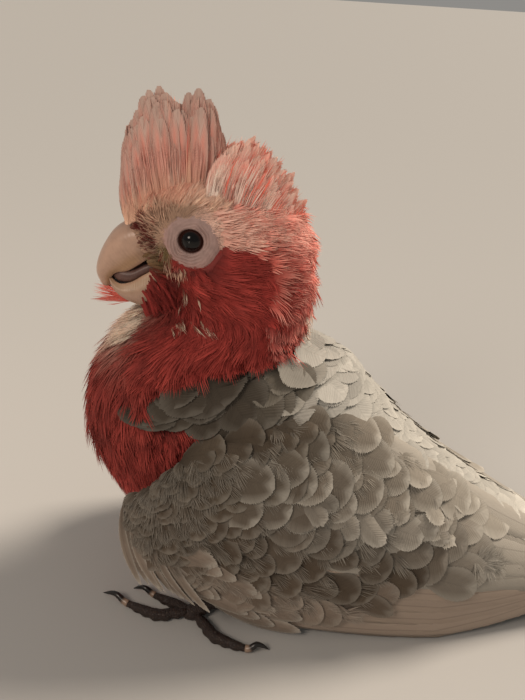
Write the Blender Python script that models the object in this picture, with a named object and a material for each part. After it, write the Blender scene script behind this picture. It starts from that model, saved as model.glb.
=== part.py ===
"""Galah, a life-size museum model of a young bird sitting on the floor with its crest raised.

Metres, +Z up. The bird faces -X, its left side faces -Y, and it rests on its toes and on the end of its tail
at Z = 0. The origin is the middle of its footprint on the floor.

The body is one loft, cut across into head, neck, trunk, rump and tail. Each station of the loft is a ring that
hangs between a point on the front line of the bird (throat, breast, belly) and one on its back line.
"""

import math

import bmesh
import bpy
import numpy as np
from mathutils import Vector
from mathutils.bvhtree import BVHTree

MM = 0.001
MIDDLE = 75.378  # mm from the model's own zero, below the back of the head, to the middle of the footprint
GAP = 0.35  # mm between neighbouring pieces
AROUND = 22  # facets round the body

# Body stations from crown to rump, in mm: front line x and z, back line x and z, half width, and how much wider
# the ring is towards the back than towards the front.
BODY = np.array([
    (-38.0, 175.5, -20.0, 177.0, 7.0, 0.0),
    (-48.0, 169.5, -3.0, 172.5, 15.0, 0.0),
    (-49.5, 161.5, 10.0, 165.5, 19.0, 0.05),
    (-46.5, 152.5, 16.0, 157.0, 21.5, 0.10),
    (-41.0, 143.0, 17.5, 147.0, 23.5, 0.12),
    (-39.0, 133.5, 18.5, 138.5, 25.0, 0.10),
    (-49.0, 124.0, 18.0, 130.0, 27.5, 0.02),
    (-60.0, 114.0, 16.5, 122.0, 30.5, -0.05),
    (-68.0, 103.0, 17.0, 116.0, 33.5, -0.08),
    (-72.0, 90.0, 25.0, 112.5, 36.0, -0.06),
    (-72.6, 76.0, 37.0, 105.0, 38.0, 0.0),
    (-69.5, 62.0, 50.0, 91.5, 39.0, 0.04),
    (-63.0, 47.0, 62.0, 78.5, 39.0, 0.06),
    (-54.0, 34.0, 75.0, 68.0, 38.0, 0.08),
    (-36.0, 21.0, 88.0, 58.5, 36.0, 0.10),
    (-10.0, 12.5, 101.0, 50.0, 33.0, 0.10),
    (22.0, 7.5, 114.0, 42.0, 29.5, 0.10),
    (56.0, 4.5, 128.0, 34.0, 26.0, 0.05),
    (90.0, 3.0, 142.0, 27.0, 22.5, 0.0),
    (120.0, 2.0, 156.0, 21.0, 20.0, 0.0),
])
HEAD_FROM, NECK_FROM, TRUNK_FROM, RUMP_FROM, RUMP_TO = 0.0, 5.5, 8.5, 15.5, 19.0
STEP = 0.5  # stations from one ring to the next

# Tail stations in the same terms, past the rump.
TAIL = np.array([
    (120.0, 2.0, 156.0, 21.0, 20.0, 0.0),
    (147.0, 0.4, 171.0, 14.0, 20.5, 0.0),
    (172.0, -0.6, 187.0, 8.6, 22.0, 0.0),
    (193.0, -0.6, 201.0, 5.0, 23.5, 0.0),
    (208.0, -0.6, 212.0, 3.0, 24.5, 0.0),
    (219.0, -0.6, 220.5, 2.0, 25.0, 0.0),
])
TAIL_FEATHERS = 12

# Wing stations of the left wing from the wrist to the tip, in mm: upper edge x, y, z, lower edge x, y, z, and
# how far the wing bulges out between them.
WING = np.array([
    (-34.0, -41.0, 77.0, -48.5, -40.0, 64.0, 1.5),
    (-26.0, -41.5, 85.5, -49.0, -43.5, 50.0, 4.0),
    (-12.0, -40.0, 93.0, -44.0, -46.0, 33.0, 7.0),
    (8.0, -35.0, 98.0, -25.0, -46.5, 19.0, 10.0),
    (34.0, -24.0, 95.5, 5.0, -46.5, 4.5, 14.0),
    (62.0, -16.0, 76.5, 45.0, -46.5, 0.9, 13.0),
    (88.0, -12.5, 57.5, 80.0, -45.0, 0.9, 11.0),
    (113.0, -10.5, 41.0, 108.0, -37.5, 5.5, 8.0),
    (138.0, -8.5, 29.0, 135.0, -28.5, 11.5, 4.5),
    (160.0, -7.5, 21.5, 159.0, -20.5, 14.5, 2.0),
    (178.0, -7.5, 16.0, 178.0, -15.5, 13.5, 0.8),
    (192.0, -8.5, 12.5, 192.0, -11.5, 12.0, 0.2),
])
WING_SKIN = (3.2, 1.7)  # mm, the least that the wing stands out over the body, at the wrist and at the tip
COVERT_END, PRIMARY_EDGE = 0.48, 0.62
U_SPLIT, V_SPLIT = 0.003, 0.035

EYE_AT = (-27.5, -17.4, 159.5)
EYE_FACES = (-0.16, -1.0, 0.10)
EYE_RADIUS, EYE_DEPTH = 5.8, 5.0
RING_RADIUS, RING_BASE = 10.0, -3.6


# ---------------------------------------------------------------- shapes


def spline(table, t):
    """Catmull-Rom curve through the table's rows, at the row numbers t."""
    t = np.clip(np.asarray(t, float), 0, len(table) - 1)
    i = np.minimum(t.astype(int), len(table) - 2)
    f = (t - i)[..., None]
    last = len(table) - 1
    p0, p1 = table[np.maximum(i - 1, 0)], table[i]
    p2, p3 = table[i + 1], table[np.minimum(i + 2, last)]
    return 0.5 * (2 * p1 + (p2 - p0) * f + (2 * p0 - 5 * p1 + 4 * p2 - p3) * f**2
                  + (3 * p1 - p0 - 3 * p2 + p3) * f**3)


def hanging_rings(table, stations, around=AROUND, grow=0.0, squareness=2.15):
    """Rings that hang between the front and the back line, as an array of rings by points by x, y, z in mm."""
    row = spline(table, stations)[:, None, :]
    angle = np.linspace(0, 2 * math.pi, around, endpoint=False)[None, :]
    power = 2 / squareness
    along = np.sign(np.cos(angle)) * np.abs(np.cos(angle)) ** power
    across = np.sign(np.sin(angle)) * np.abs(np.sin(angle)) ** power
    half = np.hypot(row[..., 2] - row[..., 0], row[..., 3] - row[..., 1]) / 2
    along = along * (1 + grow / half)
    x = (row[..., 0] + row[..., 2]) / 2 + along * (row[..., 2] - row[..., 0]) / 2
    z = (row[..., 1] + row[..., 3]) / 2 + along * (row[..., 3] - row[..., 1]) / 2
    y = (row[..., 4] + grow) * across * (1 + row[..., 5] * along)
    return np.stack([x, y, z], -1)


def new_object(name, mesh, material):
    obj = bpy.data.objects.new(name, mesh)
    bpy.context.scene.collection.objects.link(obj)
    if material:
        obj.data.materials.append(material)
    return obj


def solid(name, points, faces, material=None):
    """A closed mesh from points in mm, moved so that the footprint's middle is the origin."""
    mesh = bpy.data.meshes.new(name)
    placed = (np.asarray(points, float) - (MIDDLE, 0, 0)) * MM
    mesh.from_pydata(placed.tolist(), [], faces)
    return new_object(name, tidied(mesh), material)


def tidied(mesh):
    """The mesh in triangles, with doubled points merged and its faces turned outwards."""
    shape = bmesh.new()
    shape.from_mesh(mesh)
    bmesh.ops.remove_doubles(shape, verts=shape.verts, dist=1e-6)
    bmesh.ops.triangulate(shape, faces=shape.faces)
    bmesh.ops.recalc_face_normals(shape, faces=shape.faces)
    shape.to_mesh(mesh)
    shape.free()
    return mesh


def tube_faces(rings, around):
    """Quads of a tube of rings, and a flat cap on each end."""
    faces = [
        (i * around + j, i * around + (j + 1) % around, (i + 1) * around + (j + 1) % around, (i + 1) * around + j)
        for i in range(rings - 1)
        for j in range(around)
    ]
    faces.append(tuple(range(around)))
    faces.append(tuple(range((rings - 1) * around, rings * around)))
    return faces


def tube(name, rings, material=None):
    count, around = rings.shape[:2]
    return solid(name, rings.reshape(-1, 3), tube_faces(count, around), material)


def plate(name, outer, inner, material=None):
    """The solid between two grids of the same size, closed round their shared border."""
    rows, columns = outer.shape[:2]
    inside = rows * columns
    faces = []
    for i in range(rows - 1):
        for j in range(columns - 1):
            a, b = i * columns + j, (i + 1) * columns + j
            faces.append((a, a + 1, b + 1, b))
            faces.append((inside + b, inside + b + 1, inside + a + 1, inside + a))
    rim = [(0, j) for j in range(columns)] + [(i, columns - 1) for i in range(1, rows)]
    rim += [(rows - 1, j) for j in range(columns - 2, -1, -1)] + [(i, 0) for i in range(rows - 2, 0, -1)]
    rim = [i * columns + j for i, j in rim]
    for a, b in zip(rim, rim[1:] + rim[:1]):
        faces.append((b, a, inside + a, inside + b))
    return solid(name, np.concatenate([outer.reshape(-1, 3), inner.reshape(-1, 3)]), faces, material)


def cut(target, *tools):
    """Takes the tools away from the target and deletes them."""
    for tool in tools:
        step = target.modifiers.new("cut", "BOOLEAN")
        step.operation, step.solver, step.object = "DIFFERENCE", "EXACT", tool
    bake(target)
    for tool in tools:
        bpy.data.objects.remove(tool)
    return target


def join(target, *others):
    for other in others:
        step = target.modifiers.new("join", "BOOLEAN")
        step.operation, step.solver, step.object = "UNION", "EXACT", other
    bake(target)
    for other in others:
        bpy.data.objects.remove(other)
    return target


def bake(target):
    """Turns the target's modifiers into its mesh."""
    bpy.context.view_layer.update()
    seen = target.evaluated_get(bpy.context.evaluated_depsgraph_get())
    mesh = bpy.data.meshes.new_from_object(seen)
    target.modifiers.clear()
    target.data = tidied(mesh)


def mirrored(source, name):
    """The same piece on the bird's right side."""
    mesh = source.data.copy()
    mesh.transform(((1, 0, 0, 0), (0, -1, 0, 0), (0, 0, 1, 0), (0, 0, 0, 1)))
    mesh.flip_normals()
    return new_object(name, mesh, None)


def material(name, colour, roughness):
    made = bpy.data.materials.new(name)
    made.use_nodes = True
    shader = made.node_tree.nodes["Principled BSDF"]
    shader.inputs["Base Color"].default_value = (*colour, 1)
    shader.inputs["Roughness"].default_value = roughness
    return made


# ---------------------------------------------------------------- body


def body_piece(name, start, end, paint=None, grow=0.0, ahead=0.0):
    """The part of the body between two stations, less a sliver of it ahead of the next piece."""
    stations = np.arange(start, end + STEP / 2, STEP)
    stations[-1] -= ahead
    return tube(name, hanging_rings(BODY, stations, grow=grow), paint)


def station_gap(station):
    """How many stations GAP is, where the rings are closest together."""
    near, far = hanging_rings(BODY, np.array([station - 0.05, station + 0.05]))
    return GAP * 0.1 / np.linalg.norm(far - near, axis=1).min()


def body(pink, grey, pale):
    head = body_piece("head", HEAD_FROM, NECK_FROM, pink, ahead=station_gap(NECK_FROM))
    body_piece("neck", NECK_FROM, TRUNK_FROM, pink, ahead=station_gap(TRUNK_FROM))
    body_piece("trunk", TRUNK_FROM, RUMP_FROM, grey, ahead=station_gap(RUMP_FROM))
    body_piece("rump", RUMP_FROM, RUMP_TO, pale)
    return head


def tail_rings(grow=0.0):
    """Twelve tail feathers as one fan whose end is scalloped and rounded."""
    rings = hanging_rings(TAIL, np.linspace(0.03, len(TAIL) - 1, 11), AROUND, grow, squareness=3.2)
    edge = np.abs(rings[..., 1]) / (TAIL[-1, 4] + grow)
    scallop = np.abs(np.cos(edge * TAIL_FEATHERS / 2 * math.pi))
    share = np.linspace(0, 1, len(rings))[:, None] ** 3
    rings[..., 0] += share * (3.0 * scallop - 5.0 * edge**3)
    if not grow:
        rings[..., 2] = np.maximum(rings[..., 2], 0)
    return rings


# ---------------------------------------------------------------- wings


def whole_side(name, grow=0.0):
    """The body from neck to tail tip as one tube."""
    rings = hanging_rings(BODY, np.arange(5, RUMP_TO + STEP / 2, STEP), grow=grow)
    return tube(name, np.concatenate([rings, tail_rings(grow)]))


def body_tree():
    """A search tree over the body's surface, in metres."""
    helper = whole_side("body_side")
    shape = bmesh.new()
    shape.from_mesh(helper.data)
    tree = BVHTree.FromBMesh(shape)
    shape.free()
    bpy.data.objects.remove(helper)
    return tree


def pushed_out(tree, point, least):
    """The point in mm, moved out until it is at least so far off the body."""
    at = Vector(((point[0] - MIDDLE) * MM, point[1] * MM, point[2] * MM))
    near, out, _, _ = tree.find_nearest(at)
    if (at - near).dot(out) < least * MM:
        at = near + out * least * MM
    return at.x / MM + MIDDLE, at.y / MM, max(at.z / MM, 0.6)


def wing_surface(tree, u, v):
    """Outer surface of the left wing at shares u from wrist to tip and v from upper to lower edge."""
    row = spline(WING, u * (len(WING) - 1))[:, None, :]
    v = v[None, :, None]
    chord = row[..., :3] * (1 - v) + row[..., 3:6] * v
    bulge = row[..., 6:7] * np.sin(math.pi * v**0.85)
    drop = row[..., 2:3] - row[..., 5:6]
    lean = row[..., 4:5] - row[..., 1:2]
    size = np.hypot(drop, lean)
    surface = chord + bulge * np.concatenate([np.zeros_like(drop), -drop / size, -lean / size], -1)
    least = np.interp(u, (0, 1), WING_SKIN)
    return np.array([[pushed_out(tree, point, off) for point in line] for line, off in zip(surface, least)])


def wing_block(name, tree, u, v, relief, rows, thick, paint):
    """One block of the wing, its outer face stepped in rows of feathers, its inner face cut to lie on the body."""
    outer = wing_surface(tree, u, v)
    along = wing_surface(tree, np.minimum(u + 0.02, 1), v) - wing_surface(tree, np.maximum(u - 0.02, 0), v)
    down = wing_surface(tree, u, np.minimum(v + 0.03, 1)) - wing_surface(tree, u, np.maximum(v - 0.03, 0))
    out = np.cross(down, along)
    out /= np.linalg.norm(out, axis=2)[..., None]
    step = np.linspace(0, rows, len(u))
    outer += out * (relief * (step % 1) * (step < rows))[:, None, None]
    depth = np.interp(u, (0, COVERT_END, 1), thick)
    inner = outer - out * depth[:, None, None]
    return cut(plate(name, outer, inner, paint), whole_side("room", grow=GAP))


def wings(tree, grey, dark):
    behind = np.linspace(COVERT_END, 1, 11)
    thick = (5.0, 3.8, 1.2)
    blocks = [
        ("coverts", np.linspace(0, COVERT_END - U_SPLIT, 13), np.linspace(0, 1, 8), 0.8, 4, grey),
        ("secondaries", behind[:9], np.linspace(0, PRIMARY_EDGE - V_SPLIT, 6), 0.5, 2, grey),
        ("primaries", behind, np.linspace(PRIMARY_EDGE, 1, 4), 0.0, 1, dark),
    ]
    for tier, u, v, relief, rows, paint in blocks:
        left = wing_block(f"wing_{tier}_left", tree, u, v, relief, rows, thick, paint)
        mirrored(left, f"wing_{tier}_right")


# ---------------------------------------------------------------- head pieces


def frame_of(facing):
    """Two unit vectors square to a direction, then the direction itself."""
    out = Vector(facing).normalized()
    across = out.cross(Vector((0, 0, 1))).normalized()
    return across, out.cross(across).normalized(), out


def turned(name, profile, at, facing, segments, paint=None):
    """A profile of (radius, height) turned about the facing direction, its ends capped unless they meet."""
    across, up, out = (np.array(v) for v in frame_of(facing))
    angle = np.linspace(0, 2 * math.pi, segments, endpoint=False)
    ring = np.cos(angle)[:, None] * across + np.sin(angle)[:, None] * up
    points = np.concatenate([np.array(at) + r * ring + h * out for r, h in profile])
    faces = tube_faces(len(profile), segments)
    if profile[-1] == profile[0]:
        faces = faces[:-2]
    return solid(name, points, faces, paint)


def ball_profile(radius, centre, low=-1.0, high=1.0, steps=6):
    """Heights and radii of a ball on the turning axis, between two shares of its radius."""
    angle = np.linspace(math.asin(low), math.asin(high), steps)
    return [(max(radius * math.cos(a), 0.01), centre + radius * math.sin(a)) for a in angle]


def eyes(head, skin_pink, black):
    """Eyeballs set in rings of bare skin, each in its own socket."""
    ring_profile = [
        (6.15, RING_BASE), (5.2, -1.7), (4.35, -0.55), (4.8, 0.35), (6.4, 0.55), (8.2, -0.1), (9.4, -1.0),
        (RING_RADIUS, -2.0), (RING_RADIUS, RING_BASE), (6.15, RING_BASE),
    ]
    socket = [(0.01, RING_BASE - GAP), (RING_RADIUS + GAP, RING_BASE - GAP), (RING_RADIUS + GAP, 7.0), (0.01, 7.0)]
    for side, name in ((1, "left"), (-1, "right")):
        at = (EYE_AT[0], EYE_AT[1] * side, EYE_AT[2])
        facing = (EYE_FACES[0], EYE_FACES[1] * side, EYE_FACES[2])
        cutter = turned("socket", socket, at, facing, 20)
        hollow = turned("hollow", ball_profile(EYE_RADIUS + GAP, -EYE_DEPTH), at, facing, 16)
        cut(head, cutter, hollow)
        turned(f"eye_ring_{name}", ring_profile, at, facing, 16, skin_pink)
        turned(f"eye_{name}", ball_profile(EYE_RADIUS, -EYE_DEPTH), at, facing, 16, black)


BILL_UPPER = np.array([  # stations from inside the face to the tip, in the same terms as the body's
    (-34.0, 155.0, -31.0, 141.0, 10.0, 0.0),
    (-43.5, 161.0, -37.5, 143.5, 9.8, 0.0),
    (-51.5, 161.0, -43.5, 143.3, 9.2, -0.1),
    (-58.0, 157.6, -47.5, 142.6, 8.6, -0.15),
    (-62.2, 152.0, -51.5, 141.4, 7.9, -0.15),
    (-64.6, 146.0, -55.5, 140.6, 6.9, -0.1),
    (-65.0, 140.5, -58.2, 139.0, 5.5, 0.0),
    (-63.6, 135.8, -59.4, 136.2, 3.8, 0.0),
    (-61.9, 132.6, -60.1, 133.0, 1.7, 0.0),
])
BILL_LOWER = np.array([
    (-33.0, 140.0, -33.0, 127.0, 8.6, 0.2),
    (-40.0, 141.2, -39.0, 127.2, 8.8, 0.2),
    (-46.0, 139.0, -45.6, 127.3, 8.8, 0.2),
    (-51.0, 137.0, -50.8, 128.8, 8.2, 0.1),
    (-55.0, 135.8, -55.2, 131.2, 6.8, 0.0),
    (-57.4, 136.2, -58.2, 134.2, 4.6, 0.0),
])
TONGUE = np.array([
    (-36.0, 141.2, -36.0, 137.6, 4.0, 0.0),
    (-44.0, 141.5, -44.0, 139.4, 4.2, 0.0),
    (-50.0, 140.2, -50.0, 137.6, 4.2, 0.0),
    (-54.6, 138.9, -54.8, 136.6, 3.0, 0.0),
])


def mouth_tube(name, table, steps, paint=None, grow=0.0):
    rings = hanging_rings(table, np.linspace(0, len(table) - 1, steps), 12, grow, squareness=2.3)
    return tube(name, rings, paint)


def bill(horn, dark_pink):
    """Upper and lower mandible and the tongue between them, all trimmed where they meet the face."""
    for piece in (
        mouth_tube("bill_upper", BILL_UPPER, 12, horn),
        mouth_tube("bill_lower", BILL_LOWER, 8, horn),
        mouth_tube("tongue", TONGUE, 5, dark_pink),
    ):
        cut(piece, body_piece("face", HEAD_FROM, TRUNK_FROM, grow=GAP))
    cut(bpy.data.objects["bill_lower"], mouth_tube("tongue_room", TONGUE, 5, grow=GAP + 0.1))


CREST = {  # foot line and tip line as x, z, then feather count, half thickness at foot and at tip, notch depth
    "front": (((-46.0, 160.0), (-34.0, 163.0), (-20.0, 162.0)),
              ((-55.5, 166.5), (-54.5, 189.0), (-50.5, 200.5), (-40.5, 207.0), (-25.0, 207.5), (-19.5, 190.5)),
              6, (11.0, 3.6), 4.0),
    "back": (((-19.0, 162.0), (-8.0, 160.0), (2.0, 150.0)),
             ((-17.5, 190.0), (-7.0, 191.5), (1.5, 184.5), (7.0, 176.5), (12.5, 166.0)),
             5, (13.0, 4.0), 4.5),
}


def crest(rose):
    """Raised crest: two fans of broad feathers that spring from inside the crown, cut along the crown."""
    for part, (foot, tip, feathers, thick, notch) in CREST.items():
        across = np.linspace(0, 1, feathers * 4 + 1)
        foot, tip = (spline(np.array(line), across * (len(line) - 1)) for line in (foot, tip))
        length = np.linalg.norm(tip - foot, axis=1)[:, None]
        between = (1 - np.abs(np.sin(math.pi * feathers * across)) ** 0.6)[:, None]
        tip = tip - (tip - foot) / length * notch * between
        up = np.linspace(0, 1, 4)[None, :, None]
        face = foot[:, None] * (1 - up) + tip[:, None] * up
        edge = np.sin(math.pi * (0.08 + 0.84 * across))[:, None] ** 0.5
        half = (thick[0] + (thick[1] - thick[0]) * up[..., 0]) * edge
        outer = np.stack([face[..., 0], -half, face[..., 1]], -1)
        inner = outer * (1, -1, 1)
        fan = cut(plate("crest_" + part, outer, inner, rose), body_piece("crown", HEAD_FROM, NECK_FROM, grow=GAP))
        cut(fan, mouth_tube("bill_room", BILL_UPPER, 12, grow=GAP))


# ---------------------------------------------------------------- legs


def limb(name, path, radii, paint, around=8, span=None):
    """A tube along part of a smooth path, with a flat sole where it would dip below the floor."""
    path = np.array(path, float)
    low, high = span or (0, len(path) - 1)
    t = np.linspace(low, high, math.ceil(2 * (high - low)) + 1)
    line = spline(path, t)
    size = spline(np.array(radii, float)[:, None], np.linspace(0, len(radii) - 1, len(t)))
    ahead = spline(path, t + 0.02) - spline(path, t - 0.02)
    ahead /= np.linalg.norm(ahead, axis=1)[:, None]
    side = np.cross(ahead, (0, 0, 1.0))
    side /= np.linalg.norm(side, axis=1)[:, None]
    up = np.cross(side, ahead)
    angle = np.linspace(0, 2 * math.pi, around, endpoint=False)
    rings = line[:, None] + size[:, None] * (
        np.cos(angle)[None, :, None] * side[:, None] + np.sin(angle)[None, :, None] * up[:, None])
    rings[..., 2] = np.maximum(rings[..., 2], 0)
    return tube(name, rings, paint)


TOE_JOINT = (-22.5, -39.0, 3.2)
TOES = {  # middle and end of each toe, tip of its claw, and the toe's thickness there
    "1": ((-14.0, -31.0), (-8.0, -25.0), (-1.5, -21.0), 2.3),
    "2": ((-31.0, -34.0), (-40.0, -29.8), (-50.0, -26.0), 2.4),
    "3": ((-37.5, -40.5), (-50.5, -35.5), (-62.5, -29.5), 2.6),
    "4": ((-11.5, -50.0), (1.0, -54.5), (10.5, -53.5), 2.6),
}
SOLE, CLAW_ARCH = 0.7, 2.6
HOCK = (4.0, -27.0, 14.0)


def legs(dark, black, pale):
    """Feathered thigh, bare foot with two toes ahead and two behind, and a claw on each toe."""
    joint, hock = np.array(TOE_JOINT), np.array(HOCK)
    foot = limb("foot_left", [hock + (0.5, 0, 1.5), (hock + joint) / 2, joint, joint + (-2.5, -0.5, -0.5)],
                [3.6, 3.0, 3.7, 3.0], dark)
    parts = []
    for toe, (middle, end, tip, size) in TOES.items():
        middle, end, tip = (np.array((*p, SOLE * size)) for p in (middle, end, tip))
        tip[2] = 0.9
        start = joint + (middle - joint) * 0.12
        path = [start, (start + middle) / 2, middle, end, (end + tip) / 2 + (0, 0, CLAW_ARCH), tip]
        gap = 1.6 * GAP / np.linalg.norm(path[4] - end)
        parts.append(limb("toe_" + toe, path, [size, size * 0.93, size, size * 0.8], dark, 8, (0, 3)))
        limb(f"claw_left_{toe}", path, [size * 0.62, size * 0.45, 0.35], black, 6, (3 + gap, 5))
    join(foot, *parts)
    thigh = limb("thigh_left", [(2.0, -22.0, 40.0), (0.0, -24.0, 28.0), hock + (-0.5, 1.2, 5.8)],
                 [8.0, 9.0, 6.5], pale, around=12)
    cut(thigh, body_piece("belly", TRUNK_FROM, RUMP_TO, grow=GAP))
    cut(thigh, limb("knee", [hock + (0.5, 0, 1.8), (hock + joint) / 2], [4.0, 3.4], None))
    for piece in [thigh, foot] + [bpy.data.objects[f"claw_left_{toe}"] for toe in TOES]:
        mirrored(piece, piece.name.replace("left", "right"))


def main():
    for obj in list(bpy.data.objects):
        bpy.data.objects.remove(obj)
    pink = material("red feathers", (0.55, 0.10, 0.09), 0.8)
    rose = material("rose crest feathers", (0.70, 0.33, 0.28), 0.8)
    grey = material("grey feathers", (0.27, 0.25, 0.22), 0.75)
    dark = material("dark flight feathers", (0.20, 0.18, 0.16), 0.7)
    pale = material("pale grey feathers", (0.42, 0.38, 0.33), 0.8)
    horn = material("bill horn", (0.62, 0.46, 0.33), 0.45)
    skin_pink = material("bare eye skin", (0.48, 0.36, 0.35), 0.6)
    tongue_skin = material("tongue skin", (0.22, 0.13, 0.12), 0.5)
    scaly = material("scaly foot skin", (0.13, 0.09, 0.08), 0.6)
    black = material("dark claw and eye", (0.02, 0.016, 0.015), 0.25)
    head = body(pink, grey, pale)
    tube("tail", tail_rings(), dark)
    wings(body_tree(), grey, dark)
    eyes(head, skin_pink, black)
    bill(horn, tongue_skin)
    crest(rose)
    legs(scaly, black, pale)


main()
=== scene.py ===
"""Galah, life size: the looks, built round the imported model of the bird.

Sizes are in millimetres from the bird's own zero, which lies on the floor below the back of its head, until
a mesh is made. The bird faces -X, its left side faces -Y. Sections follow the bird from the skin outwards:
skin, bill, eyes, feet, then the feathers from the tail to the crest, and last the bristles of the face.
"""

import math

import bpy
import numpy as np
from mathutils import Matrix, Vector


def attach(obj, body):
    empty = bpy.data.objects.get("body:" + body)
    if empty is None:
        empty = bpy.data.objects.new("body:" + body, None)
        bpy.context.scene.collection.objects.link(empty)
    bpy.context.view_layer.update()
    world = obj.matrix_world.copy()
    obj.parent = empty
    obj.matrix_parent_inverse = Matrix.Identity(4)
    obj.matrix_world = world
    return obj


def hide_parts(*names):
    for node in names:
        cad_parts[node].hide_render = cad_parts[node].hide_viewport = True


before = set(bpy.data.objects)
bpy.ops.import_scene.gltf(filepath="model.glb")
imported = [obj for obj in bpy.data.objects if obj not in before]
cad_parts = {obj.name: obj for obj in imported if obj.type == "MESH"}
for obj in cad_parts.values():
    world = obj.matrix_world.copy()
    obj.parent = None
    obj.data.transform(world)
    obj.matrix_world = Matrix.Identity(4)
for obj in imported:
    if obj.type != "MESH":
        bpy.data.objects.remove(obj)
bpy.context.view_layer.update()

# ---------------------------------------------------------------- camera, light and floor
# The bird is seen from a quarter of a metre off its left side, from a little above its crest. Soft light
# falls on its back and tail from behind, and a weak lamp fills the side that faces the camera. The floor is
# plain and pale.

MM = 0.001
BIRD_ZERO = np.array([75.378, 0.0, 0.0])  # mm from the bird's own zero to the middle of its footprint
CAMERA_AT, CAMERA_DOWN, CAMERA_ROLL = (0.0, -250.0, 240.0), 27.5, 3.7  # mm, and degrees
CAMERA_LENS = 36.0  # mm, the same as the sensor's width
LIGHT_AIM = (20.0, 0.0, 90.0)
SKY_STRENGTH = 0.34


def placed(points):
    """Bird millimetres to frame metres."""
    return (np.asarray(points, float) - BIRD_ZERO) * MM


def linear(colour):
    """sRGB hex to linear colour: a channel c becomes ((c + 0.055) / 1.055) to the power 2.4."""
    c = np.array([int(colour[i:i + 2], 16) for i in (1, 3, 5)]) / 255
    return np.where(c > 0.04045, ((c + 0.055) / 1.055) ** 2.4, c / 12.92)


def finish(name, roughness, **values):
    """A new material with one Principled shader, whose plain values are set on its own sockets."""
    made = bpy.data.materials.new(name)
    made.use_nodes = True
    tree = made.node_tree
    shader = tree.nodes["Principled BSDF"]
    shader.inputs["Roughness"].default_value = roughness
    for key, value in values.items():
        shader.inputs[key.replace("_", " ")].default_value = value
    return made, tree, shader


camera = bpy.data.objects.new("camera", bpy.data.cameras.new("camera"))
camera.data.lens = camera.data.sensor_width = CAMERA_LENS
camera.data.clip_start = 0.01
camera.matrix_world = (
    Matrix.Translation(placed(CAMERA_AT))
    @ Matrix.Rotation(math.radians(90 - CAMERA_DOWN), 4, "X")
    @ Matrix.Rotation(math.radians(CAMERA_ROLL), 4, "Z")
)
bpy.context.scene.collection.objects.link(camera)
bpy.context.scene.camera = camera

LIGHTS = {  # kind, place in mm, width, power and colour: degrees and watts a square metre, or mm and watts
    "sun_behind": ("SUN", (480.0, 260.0, 540.0), 20.0, 3.7, "#fff0de"),
    "lamp_front": ("AREA", (-330.0, -420.0, 520.0), 240.0, 1.5, "#ffeedd"),
}
for name, (kind, at, width, power, colour) in LIGHTS.items():
    lamp = bpy.data.objects.new(name, bpy.data.lights.new(name, kind))
    if kind == "SUN":
        lamp.data.angle = math.radians(width)
    else:
        lamp.data.shape, lamp.data.size = "DISK", width * MM
    lamp.data.energy = power
    lamp.data.color = linear(colour)
    place = Vector(placed(at))
    aim = Vector(placed(LIGHT_AIM)) - place
    lamp.matrix_world = Matrix.Translation(place) @ aim.to_track_quat("-Z", "Y").to_matrix().to_4x4()
    bpy.context.scene.collection.objects.link(lamp)

sky = bpy.data.worlds.new("studio")
sky.use_nodes = True
sky.node_tree.nodes["Background"].inputs["Color"].default_value = (*linear("#e6e2dc"), 1)
sky.node_tree.nodes["Background"].inputs["Strength"].default_value = SKY_STRENGTH
bpy.context.scene.world = sky
bpy.context.scene.view_settings.view_transform = "Standard"

FLOOR_HALF = 20000.0  # mm from the middle to each side

# Matt paint on a flat floor: it takes the bird's soft shadow and gives no gloss.
floor_paint, tree, shader = finish("matt_studio_floor", 0.9)
shader.inputs["Base Color"].default_value = (*linear("#b9b7b4"), 1)
floor_mesh = bpy.data.meshes.new("floor")
corners = np.array([(-1, -1, 0), (1, -1, 0), (1, 1, 0), (-1, 1, 0)]) * FLOOR_HALF * MM
floor_mesh.from_pydata(corners.tolist(), [], [(0, 1, 2, 3)])
floor_mesh.materials.append(floor_paint)
floor = bpy.data.objects.new("floor", floor_mesh)
bpy.context.scene.collection.objects.link(floor)

# ---------------------------------------------------------------- skin
# Thin skin over the flesh, from the crown to the root of the tail, with the fleshy fore part of each wing and
# both thighs. It lies under the coat by the coat's depth and carries the same colours. One piece, no seams.

BODY = np.array([  # stations: front line x, z, back line x, z, half width, and how much wider at the back
    (-38.0, 175.5, -20.0, 177.0, 7.0, 0.0),
    (-48.0, 169.5, -3.0, 172.5, 15.0, 0.0),
    (-49.5, 161.5, 10.0, 165.5, 19.0, 0.05),
    (-46.5, 152.5, 16.0, 157.0, 21.5, 0.10),
    (-41.0, 143.0, 17.5, 147.0, 23.5, 0.12),
    (-39.0, 133.5, 18.5, 138.5, 25.0, 0.10),
    (-49.0, 124.0, 18.0, 130.0, 27.5, 0.02),
    (-60.0, 114.0, 16.5, 122.0, 30.5, -0.05),
    (-68.0, 103.0, 17.0, 116.0, 33.5, -0.08),
    (-72.0, 90.0, 25.0, 112.5, 36.0, -0.06),
    (-72.6, 76.0, 37.0, 105.0, 38.0, 0.0),
    (-69.5, 62.0, 50.0, 91.5, 39.0, 0.04),
    (-63.0, 47.0, 62.0, 78.5, 39.0, 0.06),
    (-54.0, 34.0, 75.0, 68.0, 38.0, 0.08),
    (-36.0, 21.0, 88.0, 58.5, 36.0, 0.10),
    (-10.0, 12.5, 101.0, 50.0, 33.0, 0.10),
    (22.0, 7.5, 114.0, 42.0, 29.5, 0.10),
    (56.0, 4.5, 128.0, 34.0, 26.0, 0.05),
    (90.0, 3.0, 142.0, 27.0, 22.5, 0.0),
    (120.0, 2.0, 156.0, 21.0, 20.0, 0.0),
])
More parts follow.
